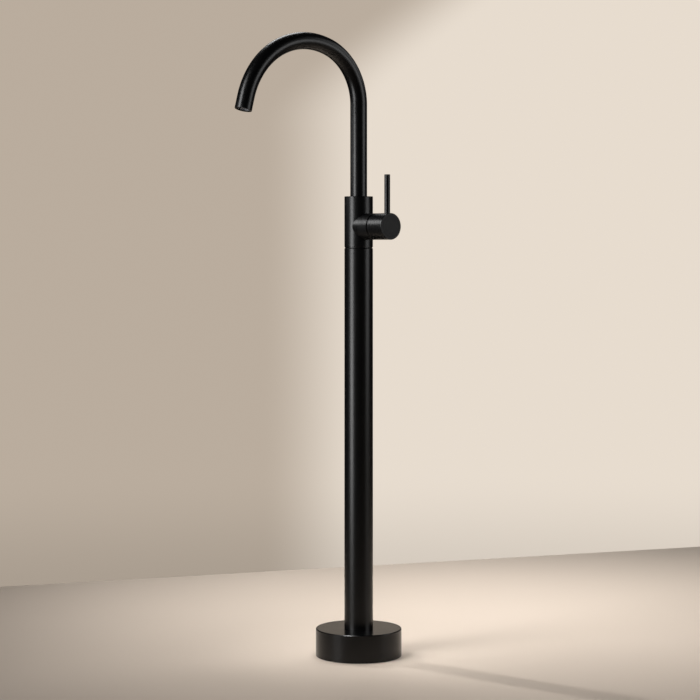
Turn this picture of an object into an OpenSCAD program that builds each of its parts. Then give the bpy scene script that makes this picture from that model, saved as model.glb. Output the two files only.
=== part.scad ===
// Floor-standing basin mixer with a swivelling gooseneck spout and a side pin lever.
// Origin: on the floor at the column's axis. +Z up, spout towards -X, handle towards -Y.
// All sizes in millimetres.

/* [Column] */
// Outside diameter of the column and of the valve body above it
column_d = 50; // [49:0.5:56]
// Wall of the column tube
column_wall = 2; // [1.5:0.1:2.4]
// Height of the seam between the column and the valve body above the floor
seam_z = 713; // [500:1:900]
// Height of the shadow groove at the seam
seam_h = 1.2; // [0.6:0.1:2]

/* [Base] */
// Outside diameter of the base cover
cover_d = 150; // [140:1:200]
// Height of the base cover
cover_h = 48; // [46:1:80]
// Sheet thickness of the base cover
cover_wall = 2; // [1.5:0.1:3]
// Rounding of the cover's top edge
cover_edge_r = 1.6; // [0.5:0.1:4]
// Diameter of the floor flange
flange_d = 120; // [116:1:128]
// Thickness of the floor flange
flange_t = 8; // [6:0.5:9]
// Thickness of the rubber gasket under the flange
gasket_t = 1.5; // [1:0.1:3]
// Clearance between the flange's clamping hub and the cover's neck above it
hub_gap = 2.5; // [1:0.1:6]
// Wall of the clamping hub
hub_wall = 8; // [6:0.5:9]
// Diameter of the circle of floor bolts
bolt_pcd = 96; // [92:0.5:100]
// Diameter of the floor bolt holes
bolt_hole_d = 9; // [7:0.5:11]
// Number of floor bolts
bolt_count = 4; // [3:1:6]
// Diameter of the set screws that clamp the column in the hub
clamp_screw_d = 6; // [5:1:8]

/* [Valve body] */
// Height of the handle's axis above the seam
handle_rise = 37; // [36:0.5:60]
// Height of the body's top above the handle's axis
crown_h = 53; // [52:0.5:80]
// Distance from the column's axis to the front of the handle collar
collar_reach = 46.5; // [45.5:0.25:48]
// Edge chamfer of the turned pieces
edge_c = 0.5; // [0.2:0.1:0.8]

/* [Spout] */
// Outside diameter of the spout tube
spout_d = 29.5; // [28.5:0.25:32]
// Wall of the spout tube
spout_wall = 1.75; // [1.5:0.05:2]
// Straight length of the spout above the valve body
spout_rise = 160; // [80:1:300]
// Radius of the first bend, from the upright leg to just before the crown
bend_r1 = 103; // [80:1:130]
// Angle of the first bend
bend_a1 = 70; // [50:1:80]
// Radius of the second bend, over the crown and down to the outlet
bend_r2 = 137; // [100:1:160]
// Angle of the second bend
bend_a2 = 95.5; // [85:0.5:105]
// Straight length at the outlet
outlet_len = 22; // [21:0.5:60]
// Swivel of the spout to each side
swivel_half = 60; // [30:5:90]

/* [Handle] */
// Diameter of the knob and of the collar behind it
knob_d = 46; // [45:0.25:48]
// Length of the knob
knob_len = 36.8; // [34:0.1:50]
// Open seam between the collar and the knob
knob_gap = 2.5; // [2:0.1:3]
// Distance from the knob's front face to the pin's axis
pin_setback = 9.7; // [8:0.1:12]
// Diameter of the pin lever
pin_d = 10; // [8:0.5:12]
// Height of the pin lever above the knob
pin_h = 66.6; // [50:0.1:90]
// Tilt of the lever from closed to fully open
lever_open = 25; // [20:1:25]
// Turn of the lever to each side of mixed water
turn_half = 45; // [35:1:50]

/* [Cartridge] */
// Outside diameter of the cartridge
cartridge_d = 35; // [34.6:0.1:35.2]
// Thickness of the cartridge's base
base_t = 5; // [4.5:0.1:5]
// Thickness of the fixed ceramic disc
fixed_disc_t = 4; // [3.5:0.1:4]
// Side of the square spindle
spindle_w = 8; // [7.5:0.1:8.2]
// Distance from the pivot pin to the spindle's ball end
ball_arm = 8; // [7.8:0.05:8.1]
// Diameter of the pivot pin
pivot_d = 3; // [2.5:0.1:3.2]

/* [Hoses] */
// Outside diameter of the braided hoses
hose_d = 12; // [11:0.25:12.5]
// Bore of the hoses
hose_bore = 8; // [7:0.25:8.5]
// Distance of each hose from the middle of the column
hose_x = 9.75; // [9.6:0.05:10]
// Height of the hose nuts' open ends above the floor
nut_z = 14; // [10:0.5:20]

/* [Clearances] */
// Radial clearance of a running or sliding fit
run_fit = 0.05; // [0.02:0.01:0.08]
// Radial clearance between pieces that are screwed or glued together
seat_fit = 0.05; // [0.02:0.01:0.1]
// Open clearance between pieces that pass each other
air = 0.3; // [0.2:0.05:0.4]

/* [Hidden] */

$fn = 96;
// Overshoot of a cut past the face it opens
over = 1;

coated = "#1b1b1c";
brass = "#b79a55";
steel = "#b9bcc0";
rubber = "#262626";
plastic = "#d9d9d4";
ceramic = "#f2efe6";
fibre = "#c9c2b0";

// Column, body and heights
column_r = column_d / 2;
column_bore_r = column_r - column_wall;
column_foot_z = gasket_t + 3;
groove_top_z = seam_z + seam_h;
handle_z = seam_z + handle_rise;
body_top_z = handle_z + crown_h;
insert_r = column_bore_r - seat_fit;
spigot_r = insert_r - 1.9;
spigot_len = 25;
insert_len = 23;

// Base
flange_r = flange_d / 2;
flange_top_z = gasket_t + flange_t;
pipe_hole_r = column_bore_r - 1;
cover_r = cover_d / 2;
cover_neck_r = column_r + air;
cover_seal_t = 2.2;
cover_neck_wall = 4.2;
cover_neck_h = 8;
hub_r = column_r + seat_fit + hub_wall;
hub_top_z = cover_h - cover_wall - cover_neck_h - hub_gap;
hub_h = hub_top_z - flange_top_z;

// Spout and its swivel seat
spout_r = spout_d / 2;
spout_bore_r = spout_r - spout_wall;
mouth_r = spout_r + air;
mouth_depth = 8.5;
slip_t = 1.5;
tail_r = 12;
tail_bore_r = 7.5;
socket_r = tail_r + run_fit;
tail_len = 18.5;
tail_plug_len = 18;
socket_floor_z = body_top_z - mouth_depth - tail_len - 1;
flush_step = 0.02;
flush_lap = 0.5;
spout_foot_z = body_top_z - mouth_depth + slip_t + 0.05;
bend_z = body_top_z + spout_rise;
spout_oring_t = 2.6;
spout_oring_steps = [4, 9];
stop_z = body_top_z - 12;
stop_tip_r = 1.7;
stop_screw_r = 2.5;
stop_floor_r = tail_r - 1.6;

// Bend centres and the outlet's place, in the plane of the spout
bend_a = bend_a1 + bend_a2;
bend2_x = -bend_r1 + (bend_r1 - bend_r2) * cos(bend_a1);
bend2_z = bend_z + (bend_r1 - bend_r2) * sin(bend_a1);
outlet_x = bend2_x + bend_r2 * cos(bend_a) - outlet_len * sin(bend_a);
outlet_z = bend2_z + bend_r2 * sin(bend_a) + outlet_len * cos(bend_a);

// Outlet insert and aerator, depths measured inwards from the outlet
insert_depth = 18.5;
insert_bore_r = 11.2;
aerator_back = 15;
aerator_front = 1.5;
aerator_wall = 1.2;
screen_hole = 1.3;
screen_pitch = 1.9;

// Places along the handle's axis, measured from the column's axis: the cartridge stands back
// from the collar's front by its own length
pivot_depth = 16.5;
pivot_y = collar_reach - pivot_depth;
chamber_floor_y = pivot_y - 27;
base_y = chamber_floor_y;
fixed_disc_y = base_y + base_t;
moving_disc_y = fixed_disc_y + fixed_disc_t + run_fit;
carrier_y = pivot_y - 14;
carrier_top_y = pivot_y - 7;
ball_y = pivot_y - ball_arm;
rotor_y = carrier_y + 0.4;
slot_y = carrier_top_y + 0.5;
rotor_groove_y = pivot_y - 4;
rotor_shoulder_y = pivot_y + 3;
rotor_front_y = pivot_y + 10;
housing_front_y = pivot_y + 6;
nut_y = housing_front_y;
nut_step_y = pivot_y + 11;
nut_front_y = collar_reach - 0.6;
knob_y = collar_reach + knob_gap;
knob_front_y = knob_y + knob_len;
pin_y = knob_front_y - pin_setback;

// Cartridge radii
cartridge_r = cartridge_d / 2;
chamber_r = cartridge_r + 0.2;
housing_bore_r = cartridge_r - 1.9;
rotor_r = housing_bore_r - run_fit - 0.03;
disc_pocket_r = 14.1;
disc_r = 13.9;
moving_disc_r = 10.5;
rotor_neck_r = 11.4;
rotor_seal_t = 1.7;
rotor_groove_w = 1.9;
stem_half = spindle_w / 2;
stem_clear = 0.15;
disc_travel = ball_arm * sin(lever_open);
ball_r = 3.5;
ball_neck_r = 2.4;

// Ports of the cartridge: hot and cold side by side above, mixed water below
inlet_port = [5, 5.6];
inlet_port_r = 2.4;
outlet_port_y = -2.5;
outlet_port_r = 3;
port_seal_t = 1.4;

// Collar and knob
knob_r = knob_d / 2;
knob_rim = 1.5;
nut_bore_r = 12.6;
knob_recess = 14;
knob_hub_r = 8;
knob_hub_h = 5.5;
socket_depth = 12;
dome_ball_r = sqrt(pivot_depth * pivot_depth + knob_r * knob_r) - 1.1;
dome_h = 4.5;
dome_hole_r = (pivot_depth + dome_h) * tan(lever_open) + stem_half / cos(lever_open) + 0.5;
nut_step_r = dome_hole_r + 2.4;
nut_r = nut_step_r + 2.4;
pin_seat = 3;
pin_stud_r = 3;
pin_stud_len = 9;
knob_screw_r = 2.5;
knob_screw_y = knob_y + knob_recess + 3;

// Hoses
hose_y = 3.5;
riser_y = 8;
riser_r = 3.5;
hose_r = hose_d / 2;
hose_bore_r = hose_bore / 2;
tail_thread_r = 4.45;
tail_hole_r = tail_thread_r + 0.05;
spigot_foot_z = seam_z - spigot_len;
hose_top_z = spigot_foot_z - 9;
nut_af = 19;
nut_h = 15;
nut_thread_r = 7.5;
nut_thread_len = 11;
nut_relief_r = 7.9;
washer_t = 1.5;
nipple_flange_z = nut_z + nut_h - 2;
hose_foot_z = nut_z + 22;
sleeve_len = 18;

// Shared shapes

// A ring from the plane z = 0 upwards
module ring(r_out, r_in, h) {
    rotate_extrude()
        translate([r_in, 0])
            square([r_out - r_in, h]);
}

// A rubber ring of round section lying at height z
module o_ring(r_mid, t, z = 0) {
    translate([0, 0, z])
        rotate_extrude()
            translate([r_mid, 0])
                circle(d = t, $fn = 32);
}

// Part of a ring, centred on the +Y side
module arc_ring(r_out, r_in, h, half_angle) {
    rotate([0, 0, 90 - half_angle])
        rotate_extrude(angle = 2 * half_angle)
            translate([r_in, 0])
                square([r_out - r_in, h]);
}

// A set screw along +Z with a hexagon socket in its top end
module set_screw(r, h, socket_af) {
    difference() {
        cylinder(h = h, r = r);
        translate([0, 0, h - socket_af])
            cylinder(h = socket_af + over, r = socket_af / sqrt(3), $fn = 6);
    }
}

// Places children on the handle's axis: local +Z points out along the handle, local +Y up
module on_handle() {
    translate([0, 0, handle_z])
        rotate([90, 0, 0])
            children();
}

// Moves children in the plane of the spout, in a whole and a fine step that keep every digit
module place(x, z) {
    translate([round(x), 0, round(z)])
        translate([x - round(x), 0, z - round(z)])
            children();
}

// Places children at the spout's outlet: local +Z points out along the flow
module at_outlet() {
    place(outlet_x, outlet_z)
        rotate([0, -bend_a, 0])
            children();
}

// Puts one child at each of the two hoses
module at_hoses() {
    for (side = [-1, 1])
        translate([side * hose_x, hose_y, 0])
            children();
}

// Puts one child at each floor bolt, the first between the X and Y axes
module at_floor_bolts() {
    for (i = [0 : bolt_count - 1])
        rotate([0, 0, (i + 0.5) * 360 / bolt_count])
            translate([bolt_pcd / 2, 0, 0])
                children();
}

// Puts one child at each clamp screw: local +Z points out of the hub
module at_clamp_screws() {
    for (a = [90, 210, 330])
        rotate([0, 0, a])
            translate([0, 0, flange_top_z + hub_h * 0.6])
                rotate([0, 90, 0])
                    children();
}

// Base

module floor_gasket() color(rubber)
    difference() {
        ring(flange_r - 0.5, pipe_hole_r + 1, gasket_t);
        at_floor_bolts()
            translate([0, 0, -over])
                cylinder(h = gasket_t + 2 * over, d = bolt_hole_d);
    }

module floor_flange() color(steel)
    difference() {
        rotate_extrude()
            polygon([
                [pipe_hole_r, gasket_t],
                [flange_r - edge_c, gasket_t],
                [flange_r, gasket_t + edge_c],
                [flange_r, flange_top_z - edge_c],
                [flange_r - edge_c, flange_top_z],
                [hub_r + 3, flange_top_z],
                [hub_r, flange_top_z + 3],
                [hub_r, hub_top_z - edge_c],
                [hub_r - edge_c, hub_top_z],
                [column_r + seat_fit, hub_top_z],
                [column_r + seat_fit, column_foot_z],
                [pipe_hole_r, column_foot_z]
            ]);
        at_floor_bolts()
            cylinder(h = flange_top_z + over, d = bolt_hole_d);
        at_clamp_screws()
            translate([0, 0, column_r - over])
                cylinder(h = hub_wall + 3 * over, d = clamp_screw_d + 0.1);
    }

module flange_clamp_screws() color(steel)
    at_clamp_screws()
        translate([0, 0, column_r + seat_fit])
            set_screw(clamp_screw_d / 2, hub_wall - 0.4, clamp_screw_d / 2);

module base_cover() color(coated) {
    seal_z = cover_h - cover_wall - cover_neck_h / 2;
    rotate_extrude()
        difference() {
            union() {
                translate([cover_neck_r, 0])
                    square([cover_r - cover_neck_r, cover_h - cover_edge_r]);
                translate([cover_neck_r, 0])
                    square([cover_r - cover_edge_r - cover_neck_r, cover_h]);
                translate([cover_r - cover_edge_r, cover_h - cover_edge_r])
                    circle(r = cover_edge_r, $fn = 64);
            }
            // Hollow under the top, then the room under the neck
            translate([cover_neck_r + cover_neck_wall, -over])
                square([cover_r - cover_wall - cover_neck_r - cover_neck_wall, cover_h - cover_wall + over]);
            translate([cover_neck_r - over, -over])
                square([cover_neck_wall + 2 * over, cover_h - cover_wall - cover_neck_h + over]);
            // Groove of the rubber ring
            translate([cover_neck_r - over, seal_z - cover_seal_t / 2 - 0.1])
                square([column_r + 2 * run_fit + cover_seal_t - cover_neck_r + over, cover_seal_t + 0.2]);
        }
}

module cover_seal() color(rubber)
    o_ring(column_r + run_fit + cover_seal_t / 2, cover_seal_t,
        cover_h - cover_wall - cover_neck_h / 2);

// Column

module column_tube() color(coated)
    rotate_extrude()
        polygon([
            [column_bore_r, column_foot_z],
            [column_r, column_foot_z],
            [column_r, seam_z - edge_c],
            [column_r - edge_c, seam_z],
            [column_bore_r, seam_z]
        ]);

module column_top_insert() color(brass)
    translate([0, 0, seam_z - insert_len - 0.1])
        ring(insert_r, spigot_r + seat_fit, insert_len);

// Valve body

// Waterways: two inlets from the hose tails to the chamber floor, one outlet up to the spout
module waterways() {
    at_hoses()
        translate([0, 0, spigot_foot_z - over])
            cylinder(h = handle_z + inlet_port.y + 3 - spigot_foot_z + over, r = tail_hole_r);
    on_handle() {
        for (side = [-1, 1])
            translate([side * inlet_port.x, inlet_port.y, -hose_y])
                cylinder(h = chamber_floor_y + hose_y + over, r = inlet_port_r);
        translate([0, outlet_port_y, -riser_y])
            cylinder(h = chamber_floor_y + riser_y + over, r = outlet_port_r);
    }
    translate([0, riser_y, handle_z + outlet_port_y])
        cylinder(h = socket_floor_z + over - handle_z - outlet_port_y, r = riser_r);
}

module valve_body() color(coated)
    difference() {
        union() {
            rotate_extrude()
                polygon([
                    [0, spigot_foot_z],
                    [spigot_r, spigot_foot_z],
                    [spigot_r, seam_z],
                    [column_r - 1, seam_z],
                    [column_r - 1, groove_top_z],
                    [column_r - edge_c, groove_top_z],
                    [column_r, groove_top_z + edge_c],
                    [column_r, body_top_z - edge_c],
                    [column_r - edge_c, body_top_z],
                    [0, body_top_z]
                ]);
            on_handle()
                rotate_extrude()
                    polygon([
                        [0, 0],
                        [knob_r, 0],
                        [knob_r, collar_reach - edge_c],
                        [knob_r - edge_c, collar_reach],
                        [0, collar_reach]
                    ]);
        }
        // Cartridge chamber and the nut's thread
        on_handle() {
            translate([0, 0, chamber_floor_y])
                cylinder(h = collar_reach, r = chamber_r);
            translate([0, 0, nut_y])
                cylinder(h = collar_reach, r = nut_r);
            for (side = [-1, 1])
                translate([side * 12, -7, chamber_floor_y - 2])
                    cylinder(h = 3, r = 1.3);
        }
        // Spout mouth and swivel socket
        translate([0, 0, body_top_z - mouth_depth])
            cylinder(h = mouth_depth + over, r = mouth_r);
        translate([0, 0, socket_floor_z])
            cylinder(h = tail_len + 2 * over, r = socket_r);
        // Hole of the retaining screw, at the back
        translate([0, tail_r - over, stop_z])
            rotate([-90, 0, 0])
                cylinder(h = column_r, r = stop_screw_r + seat_fit);
        waterways();
    }

// Spout

// One bend of the tube in the plane of the spout, with its centre at x and z, from one angle on
module bend(x, z, r_mid, from, angle) {
    place(x, z)
        rotate([90, 0, 0])
            rotate_extrude(angle = angle, start = from, $fn = 180)
                translate([r_mid, 0])
                    difference() {
                        circle(r = spout_r);
                        circle(r = spout_bore_r);
                    }
}

module spout_tube() color(coated) {
    translate([0, 0, spout_foot_z])
        ring(spout_r, spout_bore_r, bend_z - spout_foot_z);
    bend(-bend_r1, bend_z, bend_r1, 0, bend_a1);
    bend(bend2_x, bend2_z, bend_r2, bend_a1, bend_a2);
    // The outlet end is brazed on and ground nearly flush
    at_outlet()
        translate([0, 0, -outlet_len - flush_lap])
            ring(spout_r + flush_step, spout_bore_r + flush_step, outlet_len + flush_lap);
}

module spout_tail() color(brass) {
    foot = socket_floor_z + 1;
    neck = foot + tail_len + slip_t + 0.5;
    plug_r = spout_bore_r - seat_fit;
    groove_r = tail_r + run_fit - spout_oring_t - 0.05;
    difference() {
        rotate_extrude()
            polygon([
                [tail_bore_r, foot],
                [tail_r - 0.6, foot],
                [tail_r, foot + 0.6],
                [tail_r, neck],
                [plug_r, neck],
                [plug_r, neck + tail_plug_len - 1],
                [plug_r - 1, neck + tail_plug_len],
                [tail_bore_r, neck + tail_plug_len]
            ]);
        for (step = spout_oring_steps)
            translate([0, 0, foot + step - spout_oring_t / 2 - 0.1])
                ring(tail_r + over, groove_r, spout_oring_t + 0.2);
        // The stop groove: the retaining screw's tip runs in it between its two ends
        translate([0, 0, stop_z - stop_tip_r - 0.1])
            arc_ring(tail_r + over, stop_floor_r, 2 * stop_tip_r + 0.2,
                swivel_half + asin(stop_tip_r / stop_floor_r) + 1);
    }
}

module spout_o_rings() color(rubber)
    for (step = spout_oring_steps)
        o_ring(tail_r + run_fit - 0.03 - spout_oring_t / 2, spout_oring_t,
            socket_floor_z + 1 + step);

module swivel_slip_ring() color(plastic)
    translate([0, 0, body_top_z - mouth_depth])
        ring(mouth_r - 0.1, tail_r + run_fit + 0.1, slip_t);

module spout_retaining_screw() color(steel) {
    tip_y = stop_floor_r + 0.4;
    shank_y = socket_r + 0.8;
    translate([0, shank_y, stop_z])
        rotate([-90, 0, 0])
            set_screw(stop_screw_r, column_r - 0.6 - shank_y, 2.5);
    translate([0, tip_y, stop_z])
        rotate([-90, 0, 0])
            cylinder(h = shank_y - tip_y, r = stop_tip_r);
}

// Outlet and aerator

module outlet_insert() color(coated)
    at_outlet()
        difference() {
            translate([0, 0, -insert_depth])
                ring(spout_bore_r - seat_fit, insert_bore_r - 2.5, insert_depth - 0.6);
            translate([0, 0, -insert_depth + 2])
                cylinder(h = insert_depth, r = insert_bore_r);
        }

module aerator_gasket() color(rubber)
    at_outlet()
        translate([0, 0, -insert_depth + 2])
            ring(insert_bore_r - 0.1, insert_bore_r - 1.8, insert_depth - 2 - aerator_back);

module aerator_housing() color(plastic)
    at_outlet()
        difference() {
            translate([0, 0, -aerator_back])
                ring(insert_bore_r - seat_fit, insert_bore_r - aerator_wall, aerator_back - aerator_front);
            // Notches for the aerator key
            for (i = [0 : 7])
                rotate([0, 0, i * 45])
                    translate([insert_bore_r - aerator_wall - over, -1.2, -aerator_front - 1.4])
                        cube([aerator_wall + 2 * over, 2.4, 3]);
        }

// Flow straightener: a disc pierced by a square grid of small holes
module aerator_screens() color(plastic) {
    screen_r = insert_bore_r - aerator_wall - seat_fit;
    grid_half = floor((screen_r - 1.4) / screen_pitch);
    at_outlet() {
        translate([0, 0, -aerator_front - 4.5])
            linear_extrude(2)
                difference() {
                    circle(r = screen_r);
                    for (ix = [-grid_half : grid_half])
                        for (iy = [-grid_half : grid_half])
                            if (norm([ix, iy]) * screen_pitch < screen_r - 1.2)
                                translate([ix, iy] * screen_pitch)
                                    square(screen_hole, center = true);
                }
        // Mixing chamber wall behind the straightener, with its dosing plate
        translate([0, 0, -aerator_back])
            ring(screen_r, screen_r - 1, aerator_back - aerator_front - 4.5);
        translate([0, 0, -aerator_back])
            linear_extrude(1.5)
                difference() {
                    circle(r = screen_r);
                    for (i = [0 : 11])
                        rotate([0, 0, i * 30])
                            translate([screen_r * 0.62, 0])
                                circle(r = 0.8, $fn = 24);
                }
    }
}

// Cartridge, from the chamber floor outwards

module cartridge_base() color(plastic)
    on_handle()
        difference() {
            union() {
                translate([0, 0, base_y])
                    cylinder(h = base_t, r = cartridge_r - 0.2);
                for (side = [-1, 1])
                    translate([side * 12, -7, base_y - 1.8])
                        cylinder(h = 1.8 + over, r = 1.2);
            }
            for (side = [-1, 1])
                translate([side * inlet_port.x, inlet_port.y, base_y - over]) {
                    cylinder(h = base_t + 2 * over, r = inlet_port_r);
                    cylinder(h = port_seal_t + over, r = inlet_port_r + port_seal_t + 0.2);
                }
            translate([0, outlet_port_y, base_y - over]) {
                cylinder(h = base_t + 2 * over, r = outlet_port_r);
                cylinder(h = port_seal_t + over, r = outlet_port_r + port_seal_t + 0.2);
            }
        }

module cartridge_port_seals() color(rubber)
    on_handle() {
        for (side = [-1, 1])
            translate([side * inlet_port.x, inlet_port.y, 0])
                o_ring(inlet_port_r + port_seal_t / 2 + 0.1, port_seal_t, base_y + port_seal_t / 2);
        translate([0, outlet_port_y, 0])
            o_ring(outlet_port_r + port_seal_t / 2 + 0.1, port_seal_t, base_y + port_seal_t / 2);
    }

module fixed_ceramic_disc() color(ceramic)
    on_handle()
        translate([0, 0, fixed_disc_y])
            difference() {
                cylinder(h = fixed_disc_t, r = disc_r);
                for (side = [-1, 1])
                    translate([side * inlet_port.x, inlet_port.y, -over])
                        cylinder(h = fixed_disc_t + 2 * over, r = inlet_port_r);
                translate([0, outlet_port_y, -over])
                    cylinder(h = fixed_disc_t + 2 * over, r = outlet_port_r);
            }

// The cavity in the sliding face joins the inlets to the outlet once the disc has moved up
module moving_ceramic_disc() color(ceramic)
    on_handle()
        difference() {
            translate([0, 0, moving_disc_y])
                cylinder(h = carrier_y - moving_disc_y, r = moving_disc_r);
            translate([0, 0, moving_disc_y - over])
                cylinder(h = 1.8 + over, r = 4.6);
            for (side = [-1, 1])
                translate([side * 6.5, 0, carrier_y - 1.9])
                    cylinder(h = 2 + over, r = 1.25);
        }

module disc_carrier() color(plastic)
    on_handle()
        difference() {
            union() {
                translate([-8, -7.5, carrier_y])
                    cube([16, 15, carrier_top_y - carrier_y]);
                for (side = [-1, 1])
                    translate([side * 6.5, 0, carrier_y - 1.8])
                        cylinder(h = 1.8 + over, r = 1.2);
            }
            translate([0, 0, ball_y - ball_r - 0.3])
                cylinder(h = 10, r = ball_r + stem_clear);
        }

// Outline of the room that the spindle sweeps inside the rotor, in the plane of the tilt:
// X runs outwards from the pivot, Y up
module spindle_sweep() {
    reach_in = pivot_y - slot_y + over;
    reach_out = rotor_front_y - pivot_y + over;
    waist = stem_half + air;
    slant = stem_half / cos(lever_open) + air;
    polygon([
        [-reach_in, reach_in * tan(lever_open) + slant + 0.8],
        [0, slant + 0.3],
        [reach_out, waist],
        [reach_out, -reach_out * tan(lever_open) - slant],
        [0, -slant],
        [-reach_in, -waist]
    ]);
}

module cartridge_rotor() color(plastic)
    on_handle()
        difference() {
            union() {
                translate([0, 0, rotor_y])
                    cylinder(h = rotor_shoulder_y - rotor_y, r = rotor_r);
                translate([0, 0, rotor_y])
                    cylinder(h = rotor_front_y - rotor_y, r = rotor_neck_r);
                // Stop lug that limits the turn
                translate([0, 0, rotor_shoulder_y - over])
                    arc_ring(rotor_r - 0.4, rotor_neck_r - over, over + 1.1, 8);
            }
            // Guide for the disc carrier
            translate([-8 - stem_clear, -7.5 - air, -over])
                cube([16 + 2 * stem_clear, 15 + 2 * air + disc_travel, slot_y + over]);
            // Slot for the spindle
            translate([stem_half + stem_clear, 0, pivot_y])
                rotate([0, -90, 0])
                    linear_extrude(spindle_w + 2 * stem_clear)
                        spindle_sweep();
            // Pivot pin
            translate([-rotor_r - over, 0, pivot_y])
                rotate([0, 90, 0])
                    cylinder(h = 2 * (rotor_r + over), r = pivot_d / 2 + 0.02);
            translate([0, 0, rotor_groove_y])
                ring(rotor_r + over, rotor_r - rotor_seal_t - 0.05, rotor_groove_w);
        }

module rotor_seal() color(rubber)
    on_handle()
        o_ring(housing_bore_r - 0.03 - rotor_seal_t / 2, rotor_seal_t, rotor_groove_y + rotor_groove_w / 2);

module pivot_pin() color(steel)
    on_handle()
        translate([-rotor_r + 2, 0, pivot_y])
            rotate([0, 90, 0])
                cylinder(h = 2 * (rotor_r - 2), r = pivot_d / 2);

module cartridge_housing() color(plastic)
    on_handle()
        difference() {
            translate([0, 0, fixed_disc_y])
                cylinder(h = housing_front_y - fixed_disc_y, r = cartridge_r);
            translate([0, 0, fixed_disc_y - over])
                cylinder(h = fixed_disc_t + 0.2 + over, r = disc_pocket_r);
            translate([0, 0, fixed_disc_y + fixed_disc_t + 0.2])
                cylinder(h = rotor_shoulder_y + 0.1 - fixed_disc_y - fixed_disc_t - 0.2, r = housing_bore_r);
            translate([0, 0, rotor_shoulder_y])
                cylinder(h = housing_front_y, r = rotor_neck_r + run_fit);
            // Groove in which the rotor's stop lug turns
            translate([0, 0, rotor_shoulder_y])
                arc_ring(rotor_r, rotor_neck_r - over, 1.4, turn_half + 8.5);
        }

module valve_spindle() color(brass)
    on_handle()
        difference() {
            union() {
                translate([-stem_half, -stem_half, pivot_y - 4])
                    cube([spindle_w, spindle_w, knob_y + knob_recess + socket_depth - knob_hub_h - pivot_y + 3.7]);
                translate([0, 0, ball_y])
                    cylinder(h = ball_arm - 3, r = ball_neck_r);
                translate([0, 0, ball_y])
                    sphere(r = ball_r);
            }
            translate([-spindle_w, 0, pivot_y])
                rotate([0, 90, 0])
                    cylinder(h = 2 * spindle_w, r = pivot_d / 2 + run_fit);
        }

module retaining_nut() color(brass)
    on_handle()
        difference() {
            rotate_extrude()
                polygon([
                    [nut_bore_r, nut_y],
                    [nut_r - seat_fit, nut_y],
                    [nut_r - seat_fit, nut_front_y],
                    [nut_step_r, nut_front_y],
                    [nut_step_r, nut_step_y],
                    [nut_bore_r, nut_step_y]
                ]);
            // Notches for a pin spanner
            for (i = [0 : 3])
                rotate([0, 0, 45 + i * 90])
                    translate([nut_step_r - over, -2, nut_front_y - 2])
                        cube([nut_r, 4, 3]);
        }

module dome_ring() color(coated)
    on_handle()
        union() {
            difference() {
                intersection() {
                    translate([0, 0, pivot_y])
                        sphere(r = dome_ball_r, $fn = 128);
                    translate([0, 0, collar_reach])
                        cylinder(h = dome_h, r = knob_r);
                }
                cylinder(h = knob_y + knob_recess, r = dome_hole_r);
            }
            translate([0, 0, nut_step_y + 0.8])
                ring(nut_step_r - seat_fit, nut_step_r - 1.8, collar_reach + 1 - nut_step_y - 0.8);
        }

// Handle

module lever_knob() color(coated)
    on_handle()
        difference() {
            rotate_extrude()
                polygon([
                    [0, knob_y + knob_recess - knob_hub_h],
                    [knob_hub_r, knob_y + knob_recess - knob_hub_h],
                    [knob_hub_r, knob_y + knob_recess],
                    [knob_r - knob_rim - 1, knob_y + knob_recess],
                    [knob_r - knob_rim, knob_y + knob_recess - 1],
                    [knob_r - knob_rim, knob_y],
                    [knob_r - edge_c, knob_y],
                    [knob_r, knob_y + edge_c],
                    [knob_r, knob_front_y - edge_c * 1.6],
                    [knob_r - edge_c * 1.6, knob_front_y],
                    [0, knob_front_y]
                ]);
            // Square socket for the spindle
            translate([-stem_half - seat_fit, -stem_half - seat_fit, knob_y])
                cube([spindle_w + 2 * seat_fit, spindle_w + 2 * seat_fit,
                    knob_recess - knob_hub_h + socket_depth]);
            // Grub screw from below
            translate([0, 0, knob_screw_y])
                rotate([90, 0, 0])
                    cylinder(h = knob_d, r = knob_screw_r + seat_fit);
            // Seat and thread of the pin lever
            translate([0, knob_r - pin_seat, pin_y])
                rotate([-90, 0, 0])
                    cylinder(h = pin_seat + over, r = pin_d / 2 + seat_fit);
            translate([0, knob_r - pin_seat - pin_stud_len - 1, pin_y])
                rotate([-90, 0, 0])
                    cylinder(h = pin_stud_len + 2, r = pin_stud_r + seat_fit);
        }

module lever_pin() color(coated)
    on_handle()
        translate([0, knob_r - pin_seat, pin_y])
            rotate([-90, 0, 0])
                rotate_extrude()
                    polygon([
                        [0, -pin_stud_len],
                        [pin_stud_r, -pin_stud_len],
                        [pin_stud_r, 0],
                        [pin_d / 2, 0],
                        [pin_d / 2, pin_seat + pin_h - edge_c],
                        [pin_d / 2 - edge_c, pin_seat + pin_h],
                        [0, pin_seat + pin_h]
                    ]);

module knob_grub_screw() color(steel)
    on_handle()
        translate([0, -stem_half - seat_fit, knob_screw_y])
            rotate([90, 0, 0])
                set_screw(knob_screw_r, 8, 2.5);

module grub_screw_cap() color(rubber)
    on_handle()
        translate([0, -knob_r + 3.4, knob_screw_y])
            rotate([90, 0, 0])
                cylinder(h = 3, r = knob_screw_r);

// Hoses

module hose() color(steel)
    translate([0, 0, hose_foot_z])
        ring(hose_r, hose_bore_r, hose_top_z - hose_foot_z);

module hot_hose()
    translate([-hose_x, hose_y, 0])
        hose();

module cold_hose()
    translate([hose_x, hose_y, 0])
        hose();

module hose_crimp_sleeves() color(steel)
    at_hoses()
        for (z = [hose_foot_z, hose_top_z - sleeve_len])
            translate([0, 0, z])
                ring(hose_r + 0.75, hose_r + seat_fit, sleeve_len);

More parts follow.
